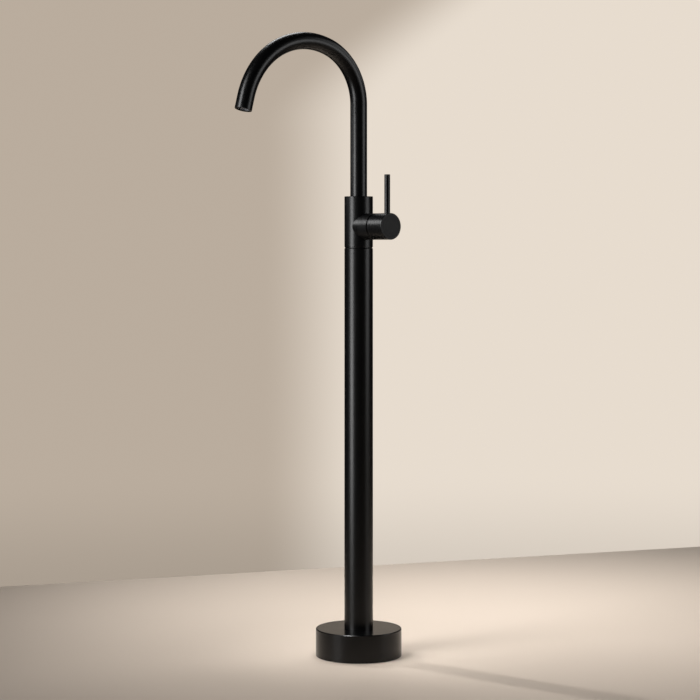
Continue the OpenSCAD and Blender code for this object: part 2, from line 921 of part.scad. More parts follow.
module hose_tails() color(brass)
    at_hoses()
        difference() {
            union() {
                translate([0, 0, hose_top_z - sleeve_len])
                    cylinder(h = sleeve_len, r = hose_bore_r - seat_fit);
                translate([0, 0, hose_top_z])
                    cylinder(h = 6, r = hose_r, $fn = 6);
                translate([0, 0, hose_top_z + 6])
                    cylinder(h = 4, r = 3.9);
                translate([0, 0, spigot_foot_z + 0.5])
                    cylinder(h = 9.5, r = tail_thread_r);
            }
            translate([0, 0, hose_top_z - sleeve_len - over])
                cylinder(h = sleeve_len + 24, r = 2.6);
        }

module hose_tail_o_rings() color(rubber)
    at_hoses()
        o_ring(4.95, 1.9, hose_top_z + 6 + 1.3);

module hose_nipples() color(brass)
    at_hoses()
        rotate_extrude()
            polygon([
                [2.6, nipple_flange_z],
                [nut_thread_r - 0.1, nipple_flange_z],
                [nut_thread_r - 0.1, nipple_flange_z + 1.5],
                [5, nipple_flange_z + 1.5],
                [5, hose_foot_z],
                [hose_bore_r - seat_fit, hose_foot_z],
                [hose_bore_r - seat_fit, hose_foot_z + sleeve_len],
                [2.6, hose_foot_z + sleeve_len]
            ]);

module hose_nuts() color(brass)
    at_hoses()
        difference() {
            translate([0, 0, nut_z])
                rotate([0, 0, 30])
                    cylinder(h = nut_h + 2, r = nut_af / sqrt(3), $fn = 6);
            translate([0, 0, nut_z - over])
                cylinder(h = nut_h - 0.5 + over, r = nut_thread_r);
            // Relief behind the thread, where the washer and the nipple's flange sit
            translate([0, 0, nut_z + nut_thread_len])
                cylinder(h = nut_h - 0.5 - nut_thread_len, r = nut_relief_r);
            translate([0, 0, nut_z])
                cylinder(h = nut_h + 4, r = 5.1);
        }

module hose_washers() color(fibre)
    at_hoses()
        translate([0, 0, nipple_flange_z - washer_t])
            ring(nut_thread_r - 0.1, 4, washer_t);

floor_gasket();
floor_flange();
flange_clamp_screws();
column_tube();
column_top_insert();
base_cover();
cover_seal();
valve_body();
spout_tube();
spout_tail();
spout_o_rings();
swivel_slip_ring();
spout_retaining_screw();
outlet_insert();
aerator_gasket();
aerator_housing();
aerator_screens();
cartridge_base();
cartridge_port_seals();
cartridge_housing();
fixed_ceramic_disc();
moving_ceramic_disc();
disc_carrier();
cartridge_rotor();
rotor_seal();
pivot_pin();
valve_spindle();
retaining_nut();
dome_ring();
lever_knob();
lever_pin();
knob_grub_screw();
grub_screw_cap();
hot_hose();
cold_hose();
hose_crimp_sleeves();
hose_tails();
hose_tail_o_rings();
hose_nipples();
hose_nuts();
hose_washers();
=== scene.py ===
"""Floor-standing basin mixer: its looks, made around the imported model.

Places are in the frame of the CAD: the origin is on the floor at the column's axis, +Z runs up the
column, the spout points to -X and the handle to -Y. Outlines are given in millimetres.
"""

import logging
import math
from collections.abc import Callable
from dataclasses import dataclass
from enum import Enum
from functools import cache, reduce
from typing import NamedTuple

import bmesh
import bpy
import numpy as np
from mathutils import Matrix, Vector


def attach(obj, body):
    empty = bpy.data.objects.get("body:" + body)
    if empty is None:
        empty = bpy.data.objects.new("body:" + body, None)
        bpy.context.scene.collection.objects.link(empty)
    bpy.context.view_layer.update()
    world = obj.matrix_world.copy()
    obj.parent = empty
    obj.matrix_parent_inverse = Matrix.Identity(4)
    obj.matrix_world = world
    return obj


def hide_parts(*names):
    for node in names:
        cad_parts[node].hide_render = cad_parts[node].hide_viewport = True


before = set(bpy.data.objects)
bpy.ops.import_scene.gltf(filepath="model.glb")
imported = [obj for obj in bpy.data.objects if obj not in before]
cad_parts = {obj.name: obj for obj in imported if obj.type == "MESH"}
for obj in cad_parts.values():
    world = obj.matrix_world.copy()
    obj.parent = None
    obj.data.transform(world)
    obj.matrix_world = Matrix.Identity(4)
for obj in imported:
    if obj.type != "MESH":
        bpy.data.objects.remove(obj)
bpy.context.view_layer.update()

MM = 0.001
TURN = 2 * math.pi
HEX = math.cos(TURN / 12)  # a hexagon's width across flats over its width across corners
CREASE = 35.0  # degrees from which an edge is shaded sharp
SAME_PLACE = 1e-7  # metres within which two points of a mesh are one

log = logging.getLogger("mixer")

Colour = tuple[float, float, float]
Place = tuple[float, float, float]
Pattern = Callable[[np.ndarray, np.ndarray], np.ndarray]

UP: Place = (0.0, 0.0, 1.0)
DOWN: Place = (0.0, 0.0, -1.0)
FRONT: Place = (0.0, -1.0, 0.0)
REAR: Place = (0.0, 1.0, 0.0)
SIDE: Place = (1.0, 0.0, 0.0)


# Shader sums


def math_method(operation: str, last: bool = False) -> Callable[..., "Tap"]:
    """Makes a method of Tap that puts one Math node on the board.

    Args:
        operation: the node's operation.
        last: whether the tap itself comes after the other value.

    Returns:
        The method, which takes the other values, if any, and returns the node's result.
    """

    def method(tap: "Tap", *others: "Tap | float") -> "Tap":
        """The operation on the tap and the other values."""
        values = (*others, tap) if last else (tap, *others)
        return tap.board.put("ShaderNodeMath", 0, {"operation": operation}, dict(enumerate(values)))

    return method


@dataclass(frozen=True)
class Tap:
    """A value inside a node tree, on which sums are written as in plain Python."""

    board: "Board"
    socket: bpy.types.NodeSocket | None

    __add__ = __radd__ = math_method("ADD")
    __sub__ = math_method("SUBTRACT")
    __rsub__ = math_method("SUBTRACT", last=True)
    __mul__ = __rmul__ = math_method("MULTIPLY")
    sine = math_method("SINE")
    size = math_method("ABSOLUTE")
    most = math_method("MAXIMUM")

    def fade(self, low: float, high: float) -> "Tap":
        """0 below low, 1 above high, and a smooth slope between."""
        inputs = {"Value": self, "From Min": low, "From Max": high}
        return self.board.put("ShaderNodeMapRange", 0, {"interpolation_type": "SMOOTHSTEP"}, inputs)


class Board:
    """One node tree, with a single method that puts any node on it."""

    def __init__(self, tree: bpy.types.NodeTree) -> None:
        """Starts from an empty tree."""
        self.tree = tree
        tree.nodes.clear()

    def put(
        self,
        kind: str,
        out: str | int | None,
        settings: dict[str, object] | None = None,
        inputs: dict[str | int, object] | None = None,
    ) -> Tap:
        """Puts a node on the board.

        Args:
            kind: the node's type.
            out: the output that is handed back, or None for a node that ends the tree.
            settings: the node's own settings, set before its sockets.
            inputs: a value or a tap for each input socket, by name or number.

        Returns:
            A tap on the chosen output.
        """
        node = self.tree.nodes.new(kind)
        for key, value in (settings or {}).items():
            setattr(node, key, value)
        for key, value in (inputs or {}).items():
            if isinstance(value, Tap):
                self.tree.links.new(value.socket, node.inputs[key])
            else:
                node.inputs[key].default_value = value
        return Tap(self, None if out is None else node.outputs[out])

    def spot(self) -> Tap:
        """The point in the object's own coordinates, in metres."""
        return self.put("ShaderNodeTexCoord", "Object")

    def vector(self, operation: str, out: str, *values: object) -> Tap:
        """One Vector Math node."""
        return self.put("ShaderNodeVectorMath", out, {"operation": operation}, dict(enumerate(values)))

    def noise(self, scale: float, detail: float = 2.0, where: Tap | None = None) -> Tap:
        """Soft noise from 0 to 1, by its waves per metre and its octaves of detail."""
        inputs = {"Vector": where or self.spot(), "Scale": scale, "Detail": detail}
        return self.put("ShaderNodeTexNoise", 0, None, inputs)

    def noise_along(self, where: Tap, scale: float, detail: float = 2.0) -> Tap:
        """Soft noise from 0 to 1 that changes along one number only."""
        inputs = {"W": where, "Scale": scale, "Detail": detail}
        return self.put("ShaderNodeTexNoise", 0, {"noise_dimensions": "1D"}, inputs)

    def blend(self, factor: Tap, low: Colour | Tap, high: Colour | Tap) -> Tap:
        """A colour between two, by a factor from 0 to 1."""
        ends = [end if isinstance(end, Tap) else (*end, 1.0) for end in (low, high)]
        return self.put("ShaderNodeMix", 2, {"data_type": "RGBA"}, {0: factor, 6: ends[0], 7: ends[1]})

    def bump(self, height: Tap, depth: float) -> Tap:
        """A normal tilted by a height from 0 to 1 that stands for a depth in metres."""
        return self.put("ShaderNodeBump", 0, None, {"Height": height, "Distance": depth, "Strength": 1.0})

    def arm(self, axis: "Axis") -> Tap:
        """The point as seen from an axis's origin."""
        return self.vector("SUBTRACT", "Vector", self.spot(), axis.origin)

    def station(self, axis: "Axis") -> Tap:
        """The distance along an axis in metres."""
        return self.vector("DOT_PRODUCT", "Value", self.arm(axis), axis.along)

    def rings(self, axis: "Axis") -> Tap:
        """Distance along a lathe's axis plus distance from it: equal values lie on the tool's rings."""
        across = self.vector("CROSS_PRODUCT", "Vector", self.arm(axis), axis.along)
        return self.station(axis) + self.vector("LENGTH", "Value", across)


@dataclass(frozen=True)
class Axis:
    """A straight axis: a point of it in metres and its direction."""

    origin: Place
    along: Place


# Finishes


@dataclass(frozen=True)
class Finish:
    """What every finish has; each kind adds how its colour, roughness and surface change."""

    name: str
    slot: str
    colour: Colour
    roughness: float

    @cache
    def material(self) -> bpy.types.Material:
        """Makes the finish's material, once.

        Returns:
            The material.
        """
        made = bpy.data.materials.new(self.name)
        made.use_nodes = True
        made.diffuse_color = (*self.colour, 1.0)
        board = Board(made.node_tree)
        shader = board.put("ShaderNodeBsdfPrincipled", 0, None, self.sockets(board))
        board.put("ShaderNodeOutputMaterial", None, None, {"Surface": shader})
        return made

    def sockets(self, board: Board) -> dict[str | int, object]:
        """The values and links of the shader's sockets."""
        raise NotImplementedError

    def dress(self, piece: bpy.types.Object) -> None:
        """Gives a piece the finish in all its slots.

        Args:
            piece: a new piece or a CAD node.
        """
        if not piece.material_slots:
            piece.data.materials.append(None)
        for slot in piece.material_slots:
            slot.material = self.material()

    def tint(self, gain: float) -> Colour:
        """The finish's colour made lighter or darker."""
        return tuple(min(1.0, part * gain) for part in self.colour)


@dataclass(frozen=True)
class PowderCoat(Finish):
    """Fine matt powder coat: a faint orange peel with a fine grain on it.

    gloss is how strongly it reflects, 0.5 for plain plastic. With an axis, the rings of the lathe
    show through the coat to a depth in millimetres. clear_of keeps them to the places that lie
    further than this from the upright axis. Past the station end the coat is duller, as on the
    knob's face.
    """

    gloss: float = 0.36
    axis: Axis | None = None
    depth: float = 0.0
    clear_of: float = 0.0
    end: float = 1.0
    end_dull: float = 0.0

    def sockets(self, board: Board) -> dict[str | int, object]:
        """Cloudy gloss, a sparse lighter grain, and turning marks under the coat.

        Args:
            board: the material's board.

        Returns:
            The values and links of the shader's sockets.
        """
        cloud = board.noise(26, 3)
        grain = board.noise(3600, 1)
        peel = board.noise(420, 2)
        height = peel * 0.006 + grain * 0.003
        rough = self.roughness + (cloud - 0.5) * 0.06 + (grain - 0.5) * 0.05
        if self.axis is not None:
            mark = board.rings(self.axis)
            fine = board.noise_along(mark, 3000, 1) - 0.5
            comb = board.noise_along(mark, 520, 2) - 0.5
            if self.clear_of:
                arm = board.vector("MULTIPLY", "Vector", board.spot(), (1.0, 1.0, 0.0))
                reach = board.vector("LENGTH", "Value", arm)
                clear = reach.fade(self.clear_of, self.clear_of + 0.4 * MM)
                fine = fine * clear
                comb = comb * clear
            height = height + (fine * 0.2 + comb) * self.depth
            reached = board.station(self.axis).fade(self.end, self.end + 0.3 * MM)
            rough = rough + comb * 0.35 + reached * self.end_dull
        speck = grain.fade(0.62, 0.78) * 0.5 + cloud * 0.35
        return {
            "Base Color": board.blend(speck, self.tint(0.85), self.tint(1.5)),
            "Roughness": rough,
            "Specular IOR Level": self.gloss,
            "Normal": board.bump(height, MM),
        }


@dataclass(frozen=True)
class TurnedMetal(Finish):
    """Bare metal from the lathe or the mill, with the tool's fine rings."""

    axis: Axis

    def sockets(self, board: Board) -> dict[str | int, object]:
        """Rings of the tool, a little tarnish, and a metal shader.

        Args:
            board: the material's board.

        Returns:
            The values and links of the shader's sockets.
        """
        mark = board.rings(self.axis)
        comb = board.noise_along(mark, 2600, 2) * 0.5 + board.noise_along(mark, 700, 1) * 0.5
        tarnish = board.noise(70, 4)
        return {
            "Base Color": board.blend(tarnish.fade(0.35, 0.75), self.tint(1.08), self.tint(0.78)),
            "Metallic": 1.0,
            "Roughness": self.roughness + (tarnish - 0.5) * 0.16 + (comb - 0.5) * 0.12,
            "Normal": board.bump(comb, 0.012 * MM),
        }


@dataclass(frozen=True)
class WireBraid(Finish):
    """Steel braid on a hose; its UV map has one turn of the hose to each unit."""

    strands: int = 12

    def sockets(self, board: Board) -> dict[str | int, object]:
        """Two crossing families of wire bundles, with painted shade that darkens them where they dive under
        each other.

        Args:
            board: the material's board.

        Returns:
            The values and links of the shader's sockets.
        """
        where = {"Vector": board.put("ShaderNodeUVMap", 0, {"uv_map": "UVMap"})}
        u, v = (board.put("ShaderNodeSeparateXYZ", out, None, where) for out in (0, 1))
        right = (u + v) * (self.strands * math.pi)
        left = (u - v) * (self.strands * math.pi)
        crown = right.sine().size().most(left.sine().size())
        wires = (right * 5).sine().size() * (left * 5).sine().size()
        return {
            # painted shade: the colour darkens towards the dips where one family of bundles dives under the
            # other
            "Base Color": board.blend(crown.fade(0.35, 0.95), self.tint(0.25), self.tint(1.15)),
            "Metallic": 1.0,
            "Roughness": self.roughness + (1 - wires) * 0.15,
            "Normal": board.bump(crown * 0.7 + wires * 0.3, 0.12 * MM),
        }


@dataclass(frozen=True)
class Rubber(Finish):
    """Moulded rubber with a bloom that dulls it in patches."""

    def sockets(self, board: Board) -> dict[str | int, object]:
        """A greyish bloom over a fine moulded grain.

        Args:
            board: the material's board.

        Returns:
            The values and links of the shader's sockets.
        """
        bloom = board.noise(160, 4).fade(0.4, 0.8)
        grain = board.noise(2400, 2)
        return {
            "Base Color": board.blend(bloom, self.tint(0.8), self.tint(2.2)),
            "Roughness": self.roughness + bloom * 0.15,
            "Normal": board.bump(grain, 0.02 * MM),
        }


@dataclass(frozen=True)
class Moulding(Finish):
    """Moulded plastic: an even skin with a soft spark-eroded texture."""

    def sockets(self, board: Board) -> dict[str | int, object]:
        """Slight flow marks and the mould's texture.

        Args:
            board: the material's board.

        Returns:
            The values and links of the shader's sockets.
        """
        flow = board.noise(90, 3)
        skin = board.noise(1900, 2)
        return {
            "Base Color": board.blend(flow, self.tint(0.93), self.tint(1.05)),
            "Roughness": self.roughness + (skin - 0.5) * 0.14,
            "Normal": board.bump(skin, 0.015 * MM),
        }


@dataclass(frozen=True)
class LappedCeramic(Finish):
    """Fired and lapped alumina: nearly mirror flat, with pores."""

    def sockets(self, board: Board) -> dict[str | int, object]:
        """Fine pores that are duller than the lapped face, with painted shade that darkens them.

        Args:
            board: the material's board.

        Returns:
            The values and links of the shader's sockets.
        """
        pore = board.noise(2800, 3).fade(0.66, 0.8)
        tone = board.noise(120, 2)
        return {
            # painted shade darkens the pores; the broad tone varies the colour at random
            "Base Color": board.blend(pore * 0.6 + tone * 0.3, self.tint(1.04), self.tint(0.8)),
            "Roughness": self.roughness + pore * 0.3,
            "Normal": board.bump(1 - pore, 0.008 * MM),
        }


@dataclass(frozen=True)
class PressedFibre(Finish):
    """Pressed fibre board of sealing washers: short hairs in all directions."""

    def sockets(self, board: Board) -> dict[str | int, object]:
        """Hairs as stretched noise, over a mottled sheet.

        Args:
            board: the material's board.

        Returns:
            The values and links of the shader's sockets.
        """
        hair = board.noise(1500, 4, board.vector("MULTIPLY", "Vector", board.spot(), (1.0, 0.3, 1.0)))
        mottle = board.noise(260, 3)
        return {
            "Base Color": board.blend(hair * 0.6 + mottle * 0.4, self.tint(0.6), self.tint(1.5)),
            "Roughness": self.roughness + (hair - 0.5) * 0.2,
            "Normal": board.bump(hair, 0.05 * MM),
        }


@dataclass(frozen=True)
class StudioFloor(Finish):
    """The plain pale floor of the studio."""

    def sockets(self, board: Board) -> dict[str | int, object]:
        """A plain pale colour with the faintest cloud in it.

        Args:
            board: the material's board.

        Returns:
            The values and links of the shader's sockets.
        """
        cloud = board.noise(3, 4)
        return {
            "Base Color": board.blend(cloud, self.tint(0.97), self.tint(1.03)),
            "Roughness": self.roughness + (cloud - 0.5) * 0.1,
            "Specular IOR Level": 0.1,
        }


# Turned surfaces


class Corner(NamedTuple):
    """A corner of a turned outline, in millimetres.

    r and s are its distance from the axis and its station along it, fillet rounds it, bite is the
    depth that a pattern such as a thread cuts there, below 0 for one that cuts outwards, and flats
    is the width across a hexagon's flats, or 0 where the piece is round.
    """

    r: float
    s: float
    fillet: float = 0.0
    bite: float = 0.0
    flats: float = 0.0


def outline(*rows: tuple[float, ...]) -> list[Corner]:
    """Corners from their numbers, in the order of Corner's fields."""
    return [Corner(*row) for row in rows]


def unit(rows: np.ndarray) -> np.ndarray:
    """Rows scaled to length one; a row of zeros stays."""
    length = np.linalg.norm(rows, axis=-1, keepdims=True)
    return rows / np.where(length < 1e-12, 1.0, length)


def rounded(corners: list[Corner], arc_steps: int = 6) -> np.ndarray:
    """Rounds an outline's corners.

    At a corner of angle w, a fillet f starts and ends f / tan(w / 2) from it. Its centre lies on the
    corner's bisector at f / sin(w / 2), and its points are the two end arms weighted by
    sin((1 - t) g) / sin(g) and sin(t g) / sin(g), where g = pi - w is the arc's swing. One more
    point beyond each end, 0.6 f from it or 0.3 of the free run, keeps the flat beside the fillet
    flat under smooth shading.

    Args:
        corners: the outline's corners in order.
        arc_steps: steps in each fillet.

    Returns:
        Rows of radius, station, pattern depth and 2 / width across flats, 0 where it is round.
    """
    table = np.array(corners, dtype=float)
    table[:, 4] = np.divide(2, table[:, 4], out=np.zeros(len(table)), where=table[:, 4] > 0)
    spot, fillet = table[:, :2], table[:, 2]
    back, ahead = np.roll(spot, 1, 0) - spot, np.roll(spot, -1, 0) - spot
    back_len, ahead_len = np.linalg.norm(back, axis=1), np.linalg.norm(ahead, axis=1)
    back, ahead = unit(back), unit(ahead)
    angle = np.arccos(np.clip((back * ahead).sum(1), -1.0, 1.0))
    bent = (np.pi - angle > 1e-4) & (fillet > 0)
    half = np.where(bent, angle / 2, np.pi / 4)
    reach = np.where(bent, fillet / np.tan(half), 0.0)
    hub = spot + unit(back + ahead) * np.where(bent, fillet / np.sin(half), 0.0)[:, None]
    arms = (spot + back * reach[:, None] - hub, spot + ahead * reach[:, None] - hub)
    swing = np.where(bent, np.pi - angle, 1.0)[:, None]
    t = np.linspace(0.0, 1.0, arc_steps + 1)
    shares = (np.sin((1 - t) * swing) / np.sin(swing), np.sin(t * swing) / np.sin(swing))
    arc = hub[:, None] + arms[0][:, None] * shares[0][..., None] + arms[1][:, None] * shares[1][..., None]
    arc = np.where(bent[:, None, None], arc, spot[:, None])
    rooms = (back_len - reach - np.roll(reach, 1), ahead_len - reach - np.roll(reach, -1))
    pads = [np.where(bent, np.minimum(0.6 * fillet, 0.3 * room), 0.0)[:, None] for room in rooms]
    first = (arc[:, 0] + back * pads[0])[:, None]
    last = (arc[:, -1] + ahead * pads[1])[:, None]
    points = np.concatenate([first, arc, last], axis=1)
    marks = np.repeat(table[:, None, 3:], points.shape[1], axis=1)
    rows = np.concatenate([points, marks], axis=2).reshape(-1, 4)
    fresh = np.linalg.norm(rows - np.roll(rows, 1, 0), axis=1) > 1e-6
    fresh[0] = True
    return rows[fresh]


def stepped(rows: np.ndarray, step: float, closed: bool) -> np.ndarray:
    """Splits an outline's long runs into even steps no longer than step.

    Args:
        rows: the outline.
        step: the longest step in millimetres.
        closed: whether the last row runs on to the first.

    Returns:
        The outline with more rows.
    """
    after = np.roll(rows, -1, 0)
    count = np.maximum(1, np.ceil(np.linalg.norm((after - rows)[:, :2], axis=1) / step - 1e-9)).astype(int)
    if not closed:
        count[-1] = 1
    index = np.repeat(np.arange(len(rows)), count)
    share = (np.arange(len(index)) - np.repeat(np.cumsum(count) - count, count)) / count[index]
    return rows[index] + (after[index] - rows[index]) * share[:, None]


def thread(pitch: float) -> Pattern:
    """A thread's groove: the triangle wave of station / pitch - turns, 0 on the crest, 1 in the root."""
    return lambda turns, station: 1 - np.abs(2 * np.mod(station / pitch - turns, 1.0) - 1)


def braid(strands: int, girth: float) -> Pattern:
    """How deep a braid's surface lies below its highest wires, from 0 to 1.

    Two families of bundles run along a = n (u + v) and b = n (u - v), where u is the turn and v the
    station over the girth. A bundle's height is the root of |sin pi a| or |sin pi b|, lifted over the
    other family where the two sines have the same sign and sunk under it where they differ.

    Args:
        strands: bundles in each family.
        girth: the hose's circumference in millimetres.

    Returns:
        The pattern.
    """

    def depth(turns: np.ndarray, station: np.ndarray) -> np.ndarray:
        """1 less the higher of the two bundles.

        Args:
            turns: turns round the hose.
            station: millimetres along it.

        Returns:
            The depth, from 0 to 1.
        """
        a = np.sin(np.pi * strands * (turns + station / girth))
        b = np.sin(np.pi * strands * (turns - station / girth))
        over = 0.3 * np.sign(a * b)
        return 1 - np.maximum(np.sqrt(np.abs(a)) * (0.7 + over), np.sqrt(np.abs(b)) * (0.7 - over))

    return depth


@dataclass(frozen=True)
class Rod:
    """A straight line from an origin, with one direction across it.

    As every line along which an outline is carried, it gives the points at some stations and two
    directions across it there, one row for each station, in millimetres.
    """

    origin: Place = (0.0, 0.0, 0.0)
    along: Place = UP
    across: Place = SIDE

    def at(self, station: np.ndarray) -> tuple[np.ndarray, np.ndarray, np.ndarray]:
        """origin + station * along, with constant directions across.

        Args:
            station: distances along the line in millimetres.

        Returns:
            Points, first and second directions across, one row for each station.
        """
        along, across = np.array(self.along), np.array(self.across)
        ones = np.ones((len(station), 1))
        points = np.array(self.origin) + station[:, None] * along
        return points, ones * across, ones * np.cross(along, across)


@dataclass(frozen=True)
class BentRod:
    """The spout's centreline: up, round two bends that run into each other, and straight to the end.

    It lies in the plane y = 0 and leans from upright towards -X. Lengths are millimetres.
    """

    foot: float
    leg: float
    radii: tuple[float, float]
    swings: tuple[float, float]
    end: float

    @property
    def length(self) -> float:
        """The whole line's length."""
        return self.leg + sum(r * a for r, a in zip(self.radii, self.swings)) + self.end

    def at(self, station: np.ndarray) -> tuple[np.ndarray, np.ndarray, np.ndarray]:
        """Adds up the leg, each bend and the end, as far as the station has passed them.

        A bend of radius r from lean a to lean a + t moves the point by r (cos(a + t) - cos(a)) along
        X and by r (sin(a + t) - sin(a)) along Z. The straight end moves it by -sin and cos of the
        full lean.

        Args:
            station: distances along the line in millimetres.

        Returns:
            Points, first and second directions across, one row for each station.
        """
        x = np.zeros_like(station)
        z = self.foot + np.minimum(station, self.leg)
        lean = np.zeros_like(station)
        begun, passed = 0.0, self.leg
        for radius, swing in zip(self.radii, self.swings):
            turned_by = np.clip((station - passed) / radius, 0.0, swing)
            x += radius * (np.cos(begun + turned_by) - math.cos(begun))
            z += radius * (np.sin(begun + turned_by) - math.sin(begun))
            lean += turned_by
            begun += swing
            passed += radius * swing
        rest = np.maximum(station - passed, 0.0)
        x -= rest * np.sin(lean)
        z += rest * np.cos(lean)
        nought = np.zeros_like(x)
        points = np.stack([x, nought, z], 1)
        outer = np.stack([np.cos(lean), nought, np.sin(lean)], 1)
        return points, outer, np.stack([nought, nought + 1, nought], 1)


def added(name: str, data: bpy.types.ID) -> bpy.types.Object:
    """A new object in the scene, made of some data.

    Args:
        name: its name.
        data: its mesh, lamp or camera.

    Returns:
        The object.
    """
    made = bpy.data.objects.new(name, data)
    bpy.context.scene.collection.objects.link(made)
    return made


@dataclass(frozen=True)
class Shell:
    """Closed surfaces as arrays: points in millimetres, quads, and a UV pair for each quad's corner."""

    points: np.ndarray
    quads: np.ndarray
    uv: np.ndarray

    def __add__(self, other: "Shell") -> "Shell":
        """Both shells as one.

        Args:
            other: the shell that is added.

        Returns:
            The new shell.
        """
        return Shell(
            np.concatenate([self.points, other.points]),
            np.concatenate([self.quads, other.quads + len(self.points)]),
            np.concatenate([self.uv, other.uv]),
        )

    def piece(self, name: str, crease: float = CREASE) -> bpy.types.Object:
        """Makes the mesh object: seams and poles merged, faces outward, edges past the crease sharp.

        Args:
            name: the object's name.
            crease: the angle in degrees from which an edge is shaded sharp.

        Returns:
            The object, at the origin with its place in its mesh.
        """
        mesh = bpy.data.meshes.new(name)
        mesh.from_pydata((self.points * MM).tolist(), [], self.quads.tolist())
        mesh.uv_layers.new(name="UVMap").data.foreach_set("uv", self.uv.ravel())
        work = bmesh.new()
        work.from_mesh(mesh)
        bmesh.ops.remove_doubles(work, verts=work.verts, dist=SAME_PLACE)
        if work.calc_volume(signed=True) < 0:
            bmesh.ops.reverse_faces(work, faces=work.faces)
        work.to_mesh(mesh)
        work.free()
        mesh.shade_smooth()
        mesh.set_sharp_from_angle(angle=math.radians(crease))
        return added(name, mesh)


def joined(shells: list[Shell]) -> Shell:
    """Several shells as one."""
    return reduce(Shell.__add__, shells)


def turned(
    spine: Rod | BentRod,
    corners: list[Corner],
    around: int = 96,
    step: float = 4.0,
    closed: bool = True,
    pattern: Pattern = thread(1.0),
    girth: float = 100.0,
) -> Shell:
    """Turns an outline round a spine.

    The point at station s and angle q is P(s) + r (cos(q) N(s) + sin(q) B(s)), where r is the
    outline's radius, no more than half the width across flats over cos(q mod 60 - 30 degrees), less
    the pattern's depth at that turn and station.

    Args:
        spine: the line that stations are measured along.
        corners: the outline; an open one starts and ends on the axis.
        around: points around the axis.
        step: the longest step along the outline in millimetres.
        closed: whether the outline runs back to its start.
        pattern: the thread or braid that the corners' bite asks for.
        girth: the station that counts as one unit of V in the UV map.

    Returns:
        The surface.
    """
    rows = stepped(rounded(corners), step, closed)
    radius, station, bite, flat = (column[:, None] for column in rows.T)
    turns = np.arange(around)[None] / around
    angle = TURN * turns
    points, first, second = (part[:, None] for part in spine.at(rows[:, 1]))
    widest = 1 / np.maximum(flat, 1e-9) / np.cos(np.mod(angle, TURN / 6) - TURN / 12)
    reach = (np.minimum(radius, widest) - bite * pattern(turns, station))[..., None]
    points = points + reach * (np.cos(angle)[..., None] * first + np.sin(angle)[..., None] * second)
    count = len(rows)
    i, j = np.meshgrid(np.arange(count if closed else count - 1), np.arange(around), indexing="ij")
    after, beside = (i + 1) % count, (j + 1) % around
    quads = np.stack([i * around + j, i * around + beside, after * around + beside, after * around + j], -1)
    u = np.stack([j, j + 1, j + 1, j], -1) / around
    v = rows[:, 1][np.stack([i, i, after, after], -1)] / girth
    return Shell(points.reshape(-1, 3), quads.reshape(-1, 4), np.stack([u, v], -1).reshape(-1, 2))


def set_screw(r: float, length: float, socket: float, bite: float, start: float = 0.0) -> list[Corner]:
    """The outline of a socket set screw, from its cup point to its socket.

    The cup is half as wide as the thread and a quarter of its radius deep. The thread fades in over
    its own depth at both ends. The socket is as deep as it is wide and ends in a drill point.

    Args:
        r: the thread's outer radius.
        length: the screw's length.
        socket: the socket's width across flats and its depth.
        bite: the thread's depth.
        start: the station of the point.

    Returns:
        An open outline from the axis to the axis.
    """
    end = start + length
    edge = socket / 2 / HEX
    return outline(
        (0, start + 0.25 * r),
        (0.5 * r, start),
        (r - bite, start, 0.05),
        (r, start + bite, 0, bite),
        (r, end - bite, 0, bite),
        (r - bite, end, 0.05),
        (edge + 0.15, end),
        (edge, end - 0.15, 0, 0, socket),
        (edge, end - socket, 0, 0, socket),
        (0, end - socket - 0.3 * r),
    )


def carve(piece: bpy.types.Object, cutters: list[bpy.types.Object]) -> None:
    """Takes the cutters out of a piece and leaves the result in its mesh.

    Args:
        piece: the piece that is cut.
        cutters: closed solids, which are removed from the scene afterwards.
    """
    for cutter in cutters:
        cut = piece.modifiers.new(cutter.name, "BOOLEAN")
        cut.operation = "DIFFERENCE"
        cut.solver = "EXACT"
        cut.object = cutter
    worked = piece.evaluated_get(bpy.context.evaluated_depsgraph_get())
    mesh = bpy.data.meshes.new_from_object(worked)
    piece.modifiers.clear()
    piece.data = mesh
    mesh.set_sharp_from_angle(angle=math.radians(CREASE))
    for cutter in cutters:
        bpy.data.objects.remove(cutter)


# The mixer's axes and finishes


HANDLE_Z = 750.0
HOSE_X, HOSE_Y = 9.75, 3.5
UPRIGHT = Axis((0.0, 0.0, 0.0), UP)
HANDLE = Axis((0.0, 0.0, HANDLE_Z * MM), FRONT)
HOSE = Axis((-HOSE_X * MM, HOSE_Y * MM, 0.0), UP)

BLACK: Colour = (0.0016, 0.0016, 0.0017)
BRASS: Colour = (0.66, 0.52, 0.27)
STEEL: Colour = (0.56, 0.56, 0.57)


